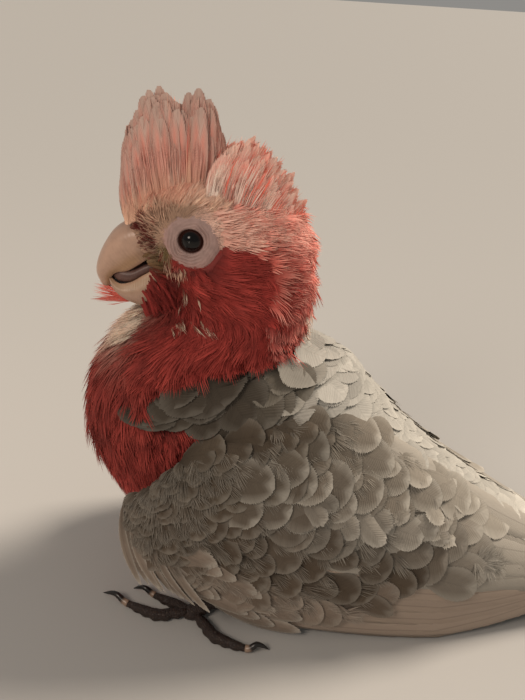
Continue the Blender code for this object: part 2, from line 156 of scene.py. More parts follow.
WING = np.array([  # left wing, wrist to tip: upper edge x, y, z, lower edge x, y, z, and outward bulge
    (-34.0, -41.0, 77.0, -48.5, -40.0, 64.0, 1.5),
    (-26.0, -41.5, 85.5, -49.0, -43.5, 50.0, 4.0),
    (-12.0, -40.0, 93.0, -44.0, -46.0, 33.0, 7.0),
    (8.0, -35.0, 98.0, -25.0, -46.5, 19.0, 10.0),
    (34.0, -24.0, 95.5, 5.0, -46.5, 4.5, 14.0),
    (62.0, -16.0, 76.5, 45.0, -46.5, 0.9, 13.0),
    (88.0, -12.5, 57.5, 80.0, -45.0, 0.9, 11.0),
    (113.0, -10.5, 41.0, 108.0, -37.5, 5.5, 8.0),
    (138.0, -8.5, 29.0, 135.0, -28.5, 11.5, 4.5),
    (160.0, -7.5, 21.5, 159.0, -20.5, 14.5, 2.0),
    (178.0, -7.5, 16.0, 178.0, -15.5, 13.5, 0.8),
    (192.0, -8.5, 12.5, 192.0, -11.5, 12.0, 0.2),
])
WING_OFF = (3.2, 1.7)  # mm that the wing's outer face stands off the body, at the wrist and at the tip
FLESH_END = 0.47  # share of the wing's length that holds flesh
COAT_DEPTH = ((0.0, 2.0, 5.0, 8.0, 14.0, 19.0), (2.2, 2.2, 3.0, 3.2, 2.6, 1.8))  # mm by station
THIGH = (  # points down the left thigh to the hock, in mm, and half the thickness at each
    ((2.0, -22.0, 40.0), 7.0),
    ((0.0, -24.0, 28.0), 7.6),
    ((3.5, -25.8, 19.8), 5.2),
    ((4.0, -27.0, 14.0), 3.6),
)
THIGH_SKIN = 0.7  # mm that the thigh's skin lies inside its coat
FLESH_ROWS, FLESH_COLUMNS = 40, 30
VOXEL = 1.5  # mm
EYE_AT, EYE_FACES = np.array([-27.5, -17.4, 159.5]), np.array([-0.16, -1.0, 0.10])
SOCKET = (7.5, 4.5)  # mm: radius and depth of the hollow that holds each eye
SKIN_SHADE = 0.62  # share of the coat's brightness that the skin under it has
SKIN_GRAIN = 900.0  # bumps to a metre, 1.1 mm apart as the roots are


def spline(table, t):
    """Catmull-Rom curve through the table's rows, at the row numbers t."""
    t = np.clip(np.asarray(t, float), 0, len(table) - 1)
    i = np.minimum(t.astype(int), len(table) - 2)
    f = (t - i)[..., None]
    p0, p1 = table[np.maximum(i - 1, 0)], table[i]
    p2, p3 = table[i + 1], table[np.minimum(i + 2, len(table) - 1)]
    return 0.5 * (2 * p1 + (p2 - p0) * f + (2 * p0 - 5 * p1 + 4 * p2 - p3) * f**2
                  + (3 * p1 - p0 - 3 * p2 + p3) * f**3)


def hung(table, station, angle, grow=0.0, squareness=2.15):
    """Points of a form that hangs between a front and a back line: at each station a superellipse, whose
    angle 0 lies on the back line and whose angle pi lies on the front line."""
    row = spline(table, station)
    power = 2 / squareness
    along = np.sign(np.cos(angle)) * np.abs(np.cos(angle)) ** power
    across = np.sign(np.sin(angle)) * np.abs(np.sin(angle)) ** power
    half = np.hypot(row[..., 2] - row[..., 0], row[..., 3] - row[..., 1]) / 2
    stretch = along * (1 + grow / half)
    x = (row[..., 0] + row[..., 2]) / 2 + stretch * (row[..., 2] - row[..., 0]) / 2
    z = (row[..., 1] + row[..., 3]) / 2 + stretch * (row[..., 3] - row[..., 1]) / 2
    y = (row[..., 4] + grow) * across * (1 + row[..., 5] * stretch)
    return np.stack([x, y, z], -1)


def body(station, angle):
    """The body's outer face, which the coat's roots stand on."""
    return hung(BODY, np.clip(station, 0.15, 18.9), angle)


def nearest(points, cloud):
    """Index of the cloud's nearest point to each point, from squared distances taken in blocks."""
    found = []
    for block in np.array_split(points, max(1, len(points) // 2000)):
        apart = (cloud**2).sum(1) - 2 * block @ cloud.T
        found.append(apart.argmin(1))
    return np.concatenate(found)


def unit(vectors):
    """Each vector divided by its length."""
    return vectors / np.maximum(np.linalg.norm(vectors, axis=-1, keepdims=True), 1e-9)


def circle(count):
    """Angles evenly once round, from 0."""
    return np.linspace(0, 2 * math.pi, count, endpoint=False)


def ringed(first, last, rows, around):
    """Two grids: values from first to last down the rows, and angles once round along the columns."""
    return np.meshgrid(np.linspace(first, last, rows), circle(around), indexing="ij")


body_s, body_a = ringed(0.2, 18.9, 150, 96)
body_grid = body(body_s, body_a)
body_out = unit(np.cross(np.gradient(body_grid, axis=0), np.gradient(body_grid, axis=1)))
WING_ROWS, WING_COLUMNS = 97, 49
wing_u, wing_v = np.meshgrid(np.linspace(0, 1, WING_ROWS), np.linspace(0, 1, WING_COLUMNS), indexing="ij")
wing_row = spline(WING, wing_u * (len(WING) - 1))
wing_drop = wing_row[..., 2] - wing_row[..., 5]
wing_lean = wing_row[..., 4] - wing_row[..., 1]
wing_grid = wing_row[..., :3] * (1 - wing_v[..., None]) + wing_row[..., 3:6] * wing_v[..., None]
wing_bulge = wing_row[..., 6] * np.sin(math.pi * wing_v**0.85) / np.hypot(wing_drop, wing_lean)
wing_grid += wing_bulge[..., None] * np.stack([0 * wing_drop, -wing_drop, -wing_lean], -1)
under = nearest(wing_grid.reshape(-1, 3), body_grid.reshape(-1, 3))
under_at = body_grid.reshape(-1, 3)[under].reshape(wing_grid.shape)
under_out = body_out.reshape(-1, 3)[under].reshape(wing_grid.shape)
stands = ((wing_grid - under_at) * under_out).sum(-1)
short = np.maximum(np.interp(wing_u, (0, 1), WING_OFF) - stands, 0) * (wing_u < 0.97)
wing_grid += under_out * short[..., None]
wing_grid[..., 2] = np.maximum(wing_grid[..., 2], 0.9)


def wing(v, u):
    """Outer face of the left wing at share v from its upper to its lower edge and u from wrist to tip, read
    between the four nearest points of the wing's grid."""
    a = np.clip(u, 0, 1) * (WING_ROWS - 1)
    b = np.clip(v, 0, 1) * (WING_COLUMNS - 1)
    i, j = np.minimum(a.astype(int), WING_ROWS - 2), np.minimum(b.astype(int), WING_COLUMNS - 2)
    f, g = (a - i)[..., None], (b - j)[..., None]
    top = wing_grid[i, j] * (1 - g) + wing_grid[i, j + 1] * g
    low = wing_grid[i + 1, j] * (1 - g) + wing_grid[i + 1, j + 1] * g
    return top * (1 - f) + low * f


def smooth(x, low, high):
    """0 below low, 1 above high, and 3 t squared less 2 t cubed between."""
    t = np.clip((np.asarray(x, float) - low) / (high - low), 0, 1)
    return t * t * (3 - 2 * t)


def mixed(a, b, share):
    """a moved towards b by a share of the way."""
    return a + (b - a) * np.asarray(share)[..., None]


CRIMSON, DEEP_RED, CORAL = linear("#99332e"), linear("#661d19"), linear("#e2695c")
BLUSH, BEIGE, CREAM = linear("#efc5b4"), linear("#ddb199"), linear("#efe2cc")
PALE = linear("#f2d2c2")
SLATE, ASH, PEARL = linear("#766d63"), linear("#a9a297"), linear("#d3cec3")
UMBER, TAN, ROSE = linear("#5f5348"), linear("#ac9a8b"), linear("#c9615a")

CAPE_AROUND = (-1, -0.45, -0.38, -0.28, -0.1, 0.0, 0.25, 0.8, 1)  # cosine of the angle: breast to nape
CAPE_STATION = (14.6, 14.2, 8.45, 8.05, 7.55, 7.3, 7.2, 7.25, 6.8)


def cape_edge(angle):
    """Station of the line between red and grey, which climbs from the side of the breast to the nape."""
    return np.interp(np.cos(angle), CAPE_AROUND, CAPE_STATION)


def grey_share(station, angle):
    """1 where the coat is grey: behind the cape's line, but not in the gap of breast between cape and
    wing."""
    along, edge = np.cos(angle), cape_edge(angle)
    gap = smooth(along, 0.18, 0.06) * smooth(station, 9.25, 9.45) * smooth(station, 14.6, 14.0)
    return smooth(station, edge - 0.12, edge + 0.12) * (1 - gap)


def red_colour(station, angle):
    """Reds of head, neck and breast: pale on the crown, coral at the nape and cream at the throat."""
    along = np.cos(angle)
    at = body(station, angle)
    red = mixed(CRIMSON, DEEP_RED, 0.5 * smooth(at[..., 0], -22, -40) * smooth(station, 3.6, 5.0))
    # Painted shade: the reds darken lower down the neck and breast, for the shade under the head.
    red = mixed(red, DEEP_RED, 0.35 * smooth(at[..., 2], 130, 105))
    red = mixed(red, CORAL, 0.5 * smooth(along, 0.6, 1.0) * smooth(station, 7.5, 5.5))
    red = mixed(red, CORAL, 0.8 * smooth(along, 0.2, 0.8) * smooth(station, 4.4, 2.6))
    red = mixed(red, BLUSH, 0.85 * smooth(at[..., 2], 157, 165))
    red = mixed(red, BEIGE, smooth(at[..., 0], -22, -32) * smooth(at[..., 2], 158, 164))
    throat = np.exp(-((at[..., 0] + 50) / 8) ** 2 - ((at[..., 2] - 126) / 8) ** 2 - (at[..., 1] / 15) ** 2)
    red = mixed(red, CREAM, 0.85 * np.clip(throat, 0, 1))
    belly = mixed(CRIMSON, ROSE, smooth(station, 10, 13))
    belly = mixed(belly, PEARL, smooth(station, 14.5, 16.5))
    return mixed(red, belly, smooth(station, 9.5, 11))


def grey_colour(station, angle):
    """Greys of cape, back and rump, palest behind and on top, and dark on the cape where the head shades
    it."""
    grey = mixed(SLATE, ASH * (1.02, 1.07, 1.12), smooth(np.cos(angle), 0.2, 0.85))
    hem = np.interp(np.cos(angle), (0.35, 0.6, 0.85), (9.8, 8.3, 7.7))
    cape = smooth(np.cos(angle), 0.97, 0.87) * smooth(station, hem + 0.35, hem - 0.35)
    grey = mixed(grey, grey * (0.32, 0.295, 0.26), cape)
    return mixed(grey, PEARL, 0.4 * smooth(station, 12.5, 15.5))


def wing_colour(v, u):
    """Greys of the wing: brown-grey in front and below, where it is partly painted shade, paler along its
    upper edge, where it is partly painted light, and tan along the bottom."""
    front, top = SLATE * (0.47, 0.41, 0.335), ASH * (0.85, 0.84, 0.82)
    grey = mixed(front, top, smooth(v, 0.4, 0.05) * smooth(u, 0.2, 0.6))
    grey = mixed(grey, UMBER * (0.66, 0.6, 0.53), 0.75 * smooth(v, 0.12, 0.4) * smooth(u, 0.6, 0.32))
    grey = mixed(grey, PEARL, 0.3 * np.exp(-((v - 0.36) / 0.1) ** 2 - ((u - 0.42) / 0.1) ** 2))
    return mixed(grey, TAN, 0.65 * smooth(v, 0.66, 0.9) * smooth(u, 0.1, 0.35))


def node(tree, kind, inputs=None, **settings):
    """Adds one shader node: settings go on the node, values and linked sockets on its inputs."""
    made = tree.nodes.new("ShaderNode" + kind)
    for key, value in settings.items():
        setattr(made, key, value)
    for key, value in (inputs or {}).items():
        if isinstance(value, bpy.types.NodeSocket):
            tree.links.new(value, made.inputs[key])
        else:
            made.inputs[key].default_value = value
    return made


def wired(tree, shader, colour, bump=None):
    """Links a colour's socket and a bump node, if there is one, to the shader."""
    tree.links.new(colour, shader.inputs["Base Color"])
    if bump:
        tree.links.new(bump.outputs["Normal"], shader.inputs["Normal"])


def mesh_object(name, points, faces, paint):
    """A smooth mesh piece from points in mm and a list of arrays of faces, each array of one size of face."""
    mesh = bpy.data.meshes.new(name)
    points = placed(np.asarray(points).reshape(-1, 3))
    mesh.vertices.add(len(points))
    mesh.vertices.foreach_set("co", points.ravel())
    corner_counts = np.concatenate([np.full(len(group), group.shape[1]) for group in faces])
    mesh.loops.add(int(corner_counts.sum()))
    mesh.loops.foreach_set("vertex_index", np.concatenate([group.ravel() for group in faces]))
    mesh.polygons.add(len(corner_counts))
    mesh.polygons.foreach_set("loop_start", np.concatenate([[0], np.cumsum(corner_counts)[:-1]]))
    mesh.polygons.foreach_set("use_smooth", np.ones(len(corner_counts), bool))
    mesh.update(calc_edges=True)
    mesh.validate()
    if paint:
        mesh.materials.append(paint)
    made = bpy.data.objects.new(name, mesh)
    bpy.context.scene.collection.objects.link(made)
    return made


def grid_faces(rows, columns):
    """Quads of a grid of points, row by row, whose columns close into rings."""
    i, j = np.meshgrid(np.arange(rows - 1), np.arange(columns), indexing="ij")
    k = (j + 1) % columns
    corners = [i * columns + j, i * columns + k, (i + 1) * columns + k, (i + 1) * columns + j]
    return np.stack(corners, -1).reshape(-1, 4)


def tube(rings):
    """Points and faces of a closed tube: rings, and a fan to a middle point at each end."""
    count, around = rings.shape[:2]
    points = np.concatenate([rings.reshape(-1, 3), rings[:1].mean(1), rings[-1:].mean(1)])
    j = np.arange(around)
    first = np.stack([j * 0 + count * around, (j + 1) % around, j], -1)
    ring = (count - 1) * around
    last = np.stack([j * 0 + count * around + 1, ring + j, ring + (j + 1) % around], -1)
    return points, [grid_faces(count, around), np.concatenate([first, last])]


def joined(shapes):
    """Several (points, faces) pairs as one."""
    points, faces, start = [], [], 0
    for own_points, own_faces in shapes:
        points.append(own_points)
        faces += [group + start for group in own_faces]
        start += len(own_points)
    return np.concatenate(points), faces


def limb(path, radii, around=14, count=24):
    """Rings along a smooth path in mm, each square to the path."""
    path, radii = np.array(path, float), np.array(radii, float)
    t = np.linspace(0, len(path) - 1, count)
    line = spline(path, t)
    size = spline(radii[:, None], t * (len(radii) - 1) / (len(path) - 1))
    ahead = unit(spline(path, t + 0.02) - spline(path, t - 0.02))
    side = unit(np.cross(ahead, (0, 0, 1.0)))
    up = np.cross(side, ahead)
    angle = circle(around)[None, :, None]
    return line[:, None] + size[:, None] * (np.cos(angle) * side[:, None] + np.sin(angle) * up[:, None])


def attribute(piece, name, values):
    """Stores a colour for each point of a piece."""
    layer = piece.data.color_attributes.new(name, "FLOAT_COLOR", "POINT")
    full = np.ones((len(values), 4), np.float32)
    full[:, :3] = values
    layer.data.foreach_set("color", full.ravel())


s, a = ringed(0.05, 19, 90, 72)
trunk = hung(BODY, s, a, grow=-np.interp(s, *COAT_DEPTH))
pads = []
for side in (1, -1):
    along, across = np.linspace(0, 1, FLESH_ROWS)[:, None], np.linspace(0, 1, FLESH_COLUMNS)
    u, v = np.meshgrid(
        np.linspace(0.02, FLESH_END, FLESH_ROWS), np.linspace(0.03, 0.97, FLESH_COLUMNS), indexing="ij")
    outer = wing(v, u)
    out = unit(np.cross(np.gradient(outer, axis=1), np.gradient(outer, axis=0)))
    plump = np.sin(math.pi * across) ** 0.35 * np.sin(math.pi * along**0.6) ** 0.3
    face = outer - out * (4.6 - 2.8 * plump)[..., None]
    back = outer - out * (4.7 + 5.0 * plump)[..., None]
    pads.append(tube(np.concatenate([face, back[:, ::-1]], 1) * (1, side, 1)))
    leg = limb([point for point, _ in THIGH], [half - THIGH_SKIN for _, half in THIGH])
    pads.append(tube(leg * (1, side, 1)))
flesh = mesh_object("flesh", *joined([tube(trunk)] + pads), None)
step = flesh.modifiers.new("remesh", "REMESH")
step.mode, step.voxel_size = "VOXEL", VOXEL * MM
step = flesh.modifiers.new("relax", "SMOOTH")
step.factor, step.iterations = 0.5, 6
bpy.context.view_layer.update()
skin_mesh = bpy.data.meshes.new_from_object(flesh.evaluated_get(bpy.context.evaluated_depsgraph_get()))
bpy.data.objects.remove(flesh)
skin_mesh.name = "skin"
skin_mesh.polygons.foreach_set("use_smooth", np.ones(len(skin_mesh.polygons), bool))
skin = bpy.data.objects.new("skin", skin_mesh)
bpy.context.scene.collection.objects.link(skin)

skin_points = np.zeros(len(skin_mesh.vertices) * 3)
skin_mesh.vertices.foreach_get("co", skin_points)
skin_points = skin_points.reshape(-1, 3) / MM + BIRD_ZERO
body_tone = mixed(red_colour(body_s, body_a), grey_colour(body_s, body_a), grey_share(body_s, body_a))
for side in (1, -1):
    out = unit(EYE_FACES * (1, side, 1))
    apart = skin_points - EYE_AT * (1, side, 1)
    height = apart @ out
    radius = np.linalg.norm(apart - height[:, None] * out, axis=1)
    sink = smooth(radius, SOCKET[0] + 3, SOCKET[0]) * (height > -9) * np.maximum(height + SOCKET[1], 0)
    skin_points -= sink[:, None] * out
skin_mesh.vertices.foreach_set("co", placed(skin_points).ravel())
cloud = [((body_grid - body_out * 2.5).reshape(-1, 3), body_tone.reshape(-1, 3))]
flesh_part = wing_u < FLESH_END + 0.03
for side in (1, -1):
    cloud.append((wing_grid[flesh_part] * (1, side, 1), wing_colour(wing_v, wing_u)[flesh_part]))
cloud_at, cloud_colour = (np.concatenate(column) for column in zip(*cloud))
attribute(skin, "coat", cloud_colour[nearest(skin_points, cloud_at)] * SKIN_SHADE)

# Skin under a coat, rough with the roots of its down. It is dull and darker than the feathers over it, so
# that a gap between them looks like shade.
bird_skin, tree, shader = finish("feathered_bird_skin", 0.75)
tint = node(tree, "Attribute", attribute_name="coat")
where = node(tree, "TexCoord")
grain = node(tree, "TexNoise", {"Vector": where.outputs["Object"], "Scale": SKIN_GRAIN, "Detail": 3.0})
bump = node(tree, "Bump", {"Height": grain.outputs["Fac"], "Strength": 0.5, "Distance": 0.0006})
wired(tree, shader, tint.outputs["Color"], bump)
skin_mesh.materials.clear()
skin_mesh.materials.append(bird_skin)
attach(skin, "root")
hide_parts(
    "head", "neck", "trunk", "rump", "thigh_left", "thigh_right", "wing_coverts_left",
    "wing_coverts_right")

# ---------------------------------------------------------------- bill and tongue
# Two mandibles of horn over bone, hollow between their cutting edges, with fine growth lines across them. The
# upper one hooks down in front of the lower. Their roots are held in the skin of the face.

BILL_UPPER = np.array([  # stations from inside the face to the tip, in the same terms as the body's
    (-34.0, 155.0, -31.0, 149.0, 10.0, 0.0),
    (-43.0, 160.6, -37.5, 149.6, 9.8, 0.0),
    (-50.6, 160.8, -43.5, 147.6, 9.2, -0.1),
    (-57.0, 157.4, -47.8, 144.6, 8.6, -0.15),
    (-61.1, 152.0, -51.8, 141.9, 7.8, -0.15),
    (-63.9, 146.0, -55.6, 140.7, 6.8, -0.1),
    (-65.0, 140.5, -58.2, 139.0, 5.5, 0.0),
    (-63.6, 135.8, -59.4, 136.2, 3.8, 0.0),
    (-61.9, 132.6, -60.1, 133.0, 1.7, 0.0),
])
BILL_LOWER = np.array([
    (-33.0, 145.6, -33.0, 127.0, 8.2, 0.1),
    (-40.0, 145.2, -39.0, 127.2, 8.4, 0.1),
    (-46.0, 141.6, -45.6, 127.3, 8.3, 0.1),
    (-51.0, 138.2, -50.8, 128.6, 7.8, 0.05),
    (-55.6, 136.9, -55.2, 130.8, 6.8, 0.0),
    (-58.8, 138.6, -58.4, 133.6, 5.2, 0.0),
    (-60.2, 140.2, -60.0, 137.6, 3.4, 0.0),
])
TONGUE = np.array([
    (-36.0, 147.0, -36.0, 142.6, 4.4, 0.0),
    (-44.0, 146.0, -44.0, 141.0, 5.0, 0.0),
    (-51.0, 142.9, -51.0, 137.0, 5.6, 0.0),
    (-55.8, 142.6, -56.0, 136.6, 4.8, 0.0),
    (-58.4, 141.2, -58.6, 138.4, 2.8, 0.0),
])
EDGE_AT, EDGE_RISE, TROUGH = 0.72, 0.20, 0.62  # radians from the mouth's middle, and shares of the half depth
TROUGH_END = ((5.2, 4.2), (5.7, 4.3))  # stations where the lower and the upper trough fade out
GROWTH_LINE, BILL_LENGTH = 0.9, 34  # mm between growth lines, and mm along the curve of the bill
BILL_ROWS, BILL_AROUND = 70, 56
HORN_MOTTLE = 260.0  # blotches to a metre, about 4 mm across
TONGUE_GRAIN = 700.0  # bumps to a metre, 1.4 mm apart
HORN, HORN_EDGE, HORN_TIP, MOUTH = linear("#c4a08b"), linear("#c4a07d"), linear("#948980"), linear("#44281f")


def mandible(table, mouth_side):
    """A mandible's surface: rings like the body's, raised to a cutting edge on each side of the mouth and
    sunk between the two. Returns points, faces, and each point's share along and angle from the mouth."""
    s, a = ringed(0, len(table) - 1.001, BILL_ROWS, BILL_AROUND)
    rings = hung(table, s, a, squareness=2.3)
    off = np.abs((a - mouth_side + math.pi) % (2 * math.pi) - math.pi)
    row = spline(table, s)
    depth = np.stack([row[..., 2] - row[..., 0], 0 * s, row[..., 3] - row[..., 1]], -1) / 2
    depth = depth if mouth_side == 0 else -depth
    fade = smooth(s, 0.2, 1.2) * smooth(s, *TROUGH_END[mouth_side == 0])
    shape = EDGE_RISE * np.exp(-((off - EDGE_AT) / 0.2) ** 2) - TROUGH * np.exp(-(off / 0.42) ** 2)
    rings += depth * (shape * fade)[..., None]
    points, faces = tube(rings)
    share = np.append((s / (len(table) - 1)).ravel(), (0, 1))
    return points, faces, share, np.append(off.ravel(), (math.pi, math.pi))


# Keratin grown in layers and worn smooth: pale, waxy and a little glossy, faintly lined and blotched.
horn, tree, shader = finish(
    "bill_horn_keratin", 0.38, Specular_IOR_Level=0.45, Coat_Weight=0.12, Coat_Roughness=0.3)
tint = node(tree, "Attribute", attribute_name="coat")
where = node(tree, "TexCoord")
mottle = node(tree, "TexNoise", {
    "Vector": where.outputs["Object"], "Scale": HORN_MOTTLE, "Detail": 5.0, "Roughness": 0.6})
flecks = node(tree, "MapRange", {
    "Value": mottle.outputs["Fac"], "From Min": 0.3, "From Max": 0.75, "To Min": 1.06, "To Max": 0.84})
toned = node(tree, "VectorMath", {
    0: tint.outputs["Color"], 1: flecks.outputs["Result"]}, operation="MULTIPLY")
lines = node(tree, "Attribute", attribute_name="growth")
bump = node(tree, "Bump", {"Height": lines.outputs["Fac"], "Strength": 0.25, "Distance": 0.0002})
rough = node(tree, "Bump", {
    "Height": mottle.outputs["Fac"], "Strength": 0.25, "Distance": 0.0003,
    "Normal": bump.outputs["Normal"]})
wired(tree, shader, toned.outputs["Vector"], rough)

MANDIBLES = (("bill_upper_horn", BILL_UPPER, 0.0), ("bill_lower_horn", BILL_LOWER, math.pi))
for name, table, mouth_side in MANDIBLES:
    points, faces, share, off = mandible(table, mouth_side)
    piece = mesh_object(name, points, faces, horn)
    tone = mixed(HORN, HORN_EDGE, smooth(off, 1.7, 0.9) * 0.9)
    if mouth_side == 0.0:
        tone = mixed(tone, HORN_TIP, smooth(points[:, 2], 137.0, 132.5))
        tone = mixed(tone, HORN * 0.86, smooth(share, 0.42, 0.22))
    else:
        # Painted shade: the lower mandible is darker than the upper, and darker still on its underside.
        tone = 0.8 * mixed(tone, HORN * 0.84, smooth(off, 2.2, 3.0))
    lip = np.exp(-((off - EDGE_AT) / 0.12) ** 2) * smooth(share, 0.97, 0.9)
    tone = mixed(tone, HORN * 1.25, 0.6 * lip)
    attribute(piece, "coat", mixed(tone, MOUTH, smooth(off, 0.66, 0.5) * smooth(share, 0.97, 0.85)))
    wave = 0.5 + 0.5 * np.sin(2 * math.pi * share * BILL_LENGTH / GROWTH_LINE + 1.5 * np.sin(off * 2))
    attribute(piece, "growth", np.repeat(wave[:, None], 3, 1))
    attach(piece, "root")
    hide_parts(name[:10])

# Moist, thick tongue skin, dark: partly its own brownish pink and partly painted shade of the mouth. It has a
# soft shine over a fine grain.
tongue_skin, tree, shader = finish("moist_tongue_skin", 0.42, Specular_IOR_Level=0.4)
where = node(tree, "TexCoord")
grain = node(tree, "TexNoise", {"Vector": where.outputs["Object"], "Scale": TONGUE_GRAIN, "Detail": 3.0})
tone = node(tree, "Mix", {
    "Factor": grain.outputs["Fac"], "A": (*linear("#47302b"), 1),
    "B": (*linear("#765851"), 1)}, data_type="RGBA")
bump = node(tree, "Bump", {"Height": grain.outputs["Fac"], "Strength": 0.4, "Distance": 0.0003})
wired(tree, shader, tone.outputs["Result"], bump)
s, a = ringed(0, len(TONGUE) - 1.001, 36, 28)
tongue = mesh_object("tongue_flesh", *tube(hung(TONGUE, s, a, squareness=2.3)), tongue_skin)
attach(tongue, "root")
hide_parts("tongue")

# ---------------------------------------------------------------- eyes
# Each eye is a near-black ball, wet and domed, set behind a rim of lid. Round it lies a ring of bare
# mauve-grey skin in low folds, which is fleshy in this bird and has no feathers.

EYE_RADIUS, EYE_DEPTH, CORNEA = 5.8, 5.0, 0.55  # mm; the last is how far the clear dome in front rises
FOLD_GAP = 0.95  # mm between the folds of the ring of skin
RING_STRETCH = (1.16, 1.08)  # the ring of skin is wider than it is high
RING_PROFILE = np.array([  # radius and height over the eye's place, in mm, from inside the lid outwards
    (3.2, -2.4), (3.75, -1.3), (4.05, -0.75), (4.45, -0.15), (4.9, 0.1), (5.5, 0.05), (6.4, 0.15), (7.5, 0.0),
    (8.6, -0.5), (9.6, -1.3), (10.4, -2.3), (11.2, -3.8),
])
SKIN_MAUVE, SKIN_IN_SHADE, LID = linear("#c4aaa5"), linear("#947871"), linear("#4d2f29")
SKIN_PORES, SKIN_BLOTCHES = 1700.0, 420.0  # to a metre: pores 0.6 mm apart, blotches about 2.4 mm across

# An eyeball wet with tears: nearly black, with one small sharp highlight.
eye_ball, tree, shader = finish(
    "wet_dark_eyeball", 0.12, Coat_Weight=0.2, Coat_Roughness=0.05, Specular_IOR_Level=0.2)
tint = node(tree, "Attribute", attribute_name="coat")
wired(tree, shader, tint.outputs["Color"])

# Bare skin with fine pores: soft and dull, its mauve-grey a little blotched.
ring_skin, tree, shader = finish("bare_eye_ring_skin", 0.55, Specular_IOR_Level=0.4)
tint = node(tree, "Attribute", attribute_name="coat")
where = node(tree, "TexCoord")
pores = node(tree, "TexVoronoi", {"Vector": where.outputs["Object"], "Scale": SKIN_PORES})
blotch = node(tree, "TexNoise", {"Vector": where.outputs["Object"], "Scale": SKIN_BLOTCHES, "Detail": 4.0})
shade = node(tree, "MapRange", {
    "Value": blotch.outputs["Fac"], "From Min": 0.3, "From Max": 0.7, "To Min": 0.86, "To Max": 1.1})
toned = node(tree, "VectorMath", {
    0: tint.outputs["Color"], 1: shade.outputs["Result"]}, operation="MULTIPLY")
bump = node(tree, "Bump", {
    "Height": pores.outputs["Distance"], "Strength": 0.35, "Distance": 0.00025})
wired(tree, shader, toned.outputs["Vector"], bump)


def turned(radius, height, angle, side):
    """Points at a radius and angle round the eye's axis, and at a height along it."""
    at, out = EYE_AT * (1, side, 1), unit(EYE_FACES * (1, side, 1))
    across = unit(np.cross(out, (0, 0, 1.0)))
    up = np.cross(across, out)
    return (at + (radius * np.cos(angle))[..., None] * across + (radius * np.sin(angle))[..., None] * up
            + height[..., None] * out)


for side, hand in ((1, "left"), (-1, "right")):
    r, a = ringed(0, 1, 34, 64)
    polar = r * 0.62 * math.pi
    dome = EYE_RADIUS + CORNEA * smooth(polar, 0.75, 0.15)
    ball = turned(dome * np.sin(polar), dome * np.cos(polar) - EYE_DEPTH, a, side)
    points, faces = tube(ball)
    piece = mesh_object(f"eyeball_{hand}", points, faces, eye_ball)
    iris = np.append(smooth(dome * np.sin(polar), 3.0, 3.7).ravel(), (0, 1))
    attribute(piece, "coat", mixed(linear("#060404"), linear("#2e1712"), iris))
    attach(piece, "root")
    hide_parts(f"eye_{hand}")

    t, a = ringed(0, 1, 84, 120)
    radius, height = np.moveaxis(spline(RING_PROFILE, t * (len(RING_PROFILE) - 1)), -1, 0)
    up_front = 0.5 + 0.5 * np.cos(a - (math.pi * 0.8 if side > 0 else math.pi * 0.2))
    down_back = 0.5 + 0.5 * np.cos(a + (math.pi * 0.3 if side > 0 else math.pi * 0.7))
    wander = 0.5 * np.sin(2 * a + 0.7) + 0.2 * np.sin(5 * a + 2) + 0.1 * np.sin(9 * a)
    fold = np.sin(2 * math.pi * (radius + wander) / FOLD_GAP)
    strength = smooth(radius, 4.6, 5.1) * np.maximum(
        up_front**4 * smooth(radius, 7.2, 5.8), down_back**3 * smooth(radius, 8.8, 7.2))
    strength = np.maximum(strength, 0.12 * smooth(radius, 4.7, 5.4) * smooth(radius, 10.4, 9.2))
    swell = 0.12 * np.sin(3 * a + 1) * smooth(radius, 6, 9)
    lid_creases = 0.1 * np.sin(a * 23 + radius) * np.exp(-((radius - 4.3) / 0.4) ** 2)
    height = height + 0.2 * fold * strength + swell + lid_creases
    width = radius * np.hypot(np.cos(a) * RING_STRETCH[0], np.sin(a) * RING_STRETCH[1])
    width = width * (1 + smooth(radius, 7, 10) * (0.03 * np.sin(3 * a + 0.5) + 0.015 * np.sin(8 * a)))
    lid = radius * (1 + (RING_STRETCH[0] - 1) * 0.7 * np.cos(a) ** 2)
    width = mixed(lid[..., None], width[..., None], smooth(radius, 4.8, 8))[..., 0]
    points, faces = tube(turned(width, height, a, side)[::-1])
    piece = mesh_object(f"eye_ring_skin_{hand}", points, [faces[0]], ring_skin)
    # Painted shade: the skin darkens in the troughs between its folds and towards its outer edge, where it
    # runs in under the feathers.
    crease_shade = np.clip(0.9 * strength * (0.5 - 0.5 * fold), 0, 1)
    tone = mixed(SKIN_MAUVE * (0.68, 0.62, 0.6), SKIN_IN_SHADE, crease_shade)
    tone = mixed(tone, LID, smooth(radius, 4.45, 4.05))
    tone = mixed(tone, linear("#c08f88"), 0.5 * smooth(radius, 6.0, 9.0) * down_back)
    tone = mixed(tone, SKIN_IN_SHADE, 0.8 * smooth(radius, 8.8, 10.2))
    attribute(piece, "coat", np.concatenate([tone[::-1].reshape(-1, 3), tone[:2, 0]]))
    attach(piece, "root")
    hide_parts(f"eye_ring_{hand}")

# ---------------------------------------------------------------- feet
# Bare feet with two toes ahead and two behind, in dark skin of small scales with a row of wider ones on top.
# Each toe ends in a curved claw of dark horn, pale where it leaves the toe.

TOE_JOINT, HOCK = np.array([-22.5, -39.0, 3.2]), np.array([4.0, -27.0, 14.0])
TOES = {  # middle and end of each toe, tip of its claw, and the toe's half thickness
    "1": ((-14.0, -31.0), (-8.0, -25.0), (-1.5, -21.0), 2.3),
    "2": ((-31.0, -34.0), (-40.0, -29.8), (-50.0, -26.0), 2.4),
    "3": ((-37.5, -40.5), (-50.5, -35.5), (-62.5, -29.5), 2.6),
    "4": ((-11.5, -50.0), (1.0, -54.5), (10.5, -53.5), 2.6),
}
SOLE = 0.7  # height of a toe's middle over the floor, as a share of its half thickness
CLAW_ARCH, CLAW_TIP = 2.6, 0.9  # mm that a claw arches up, and mm from its tip to the floor
SCUTE, PAD = 1.5, 4.6  # mm between the wide scales on top of a toe, and between the pads under it
FOOT_SCALES = 1150.0  # to a metre, 0.9 mm across

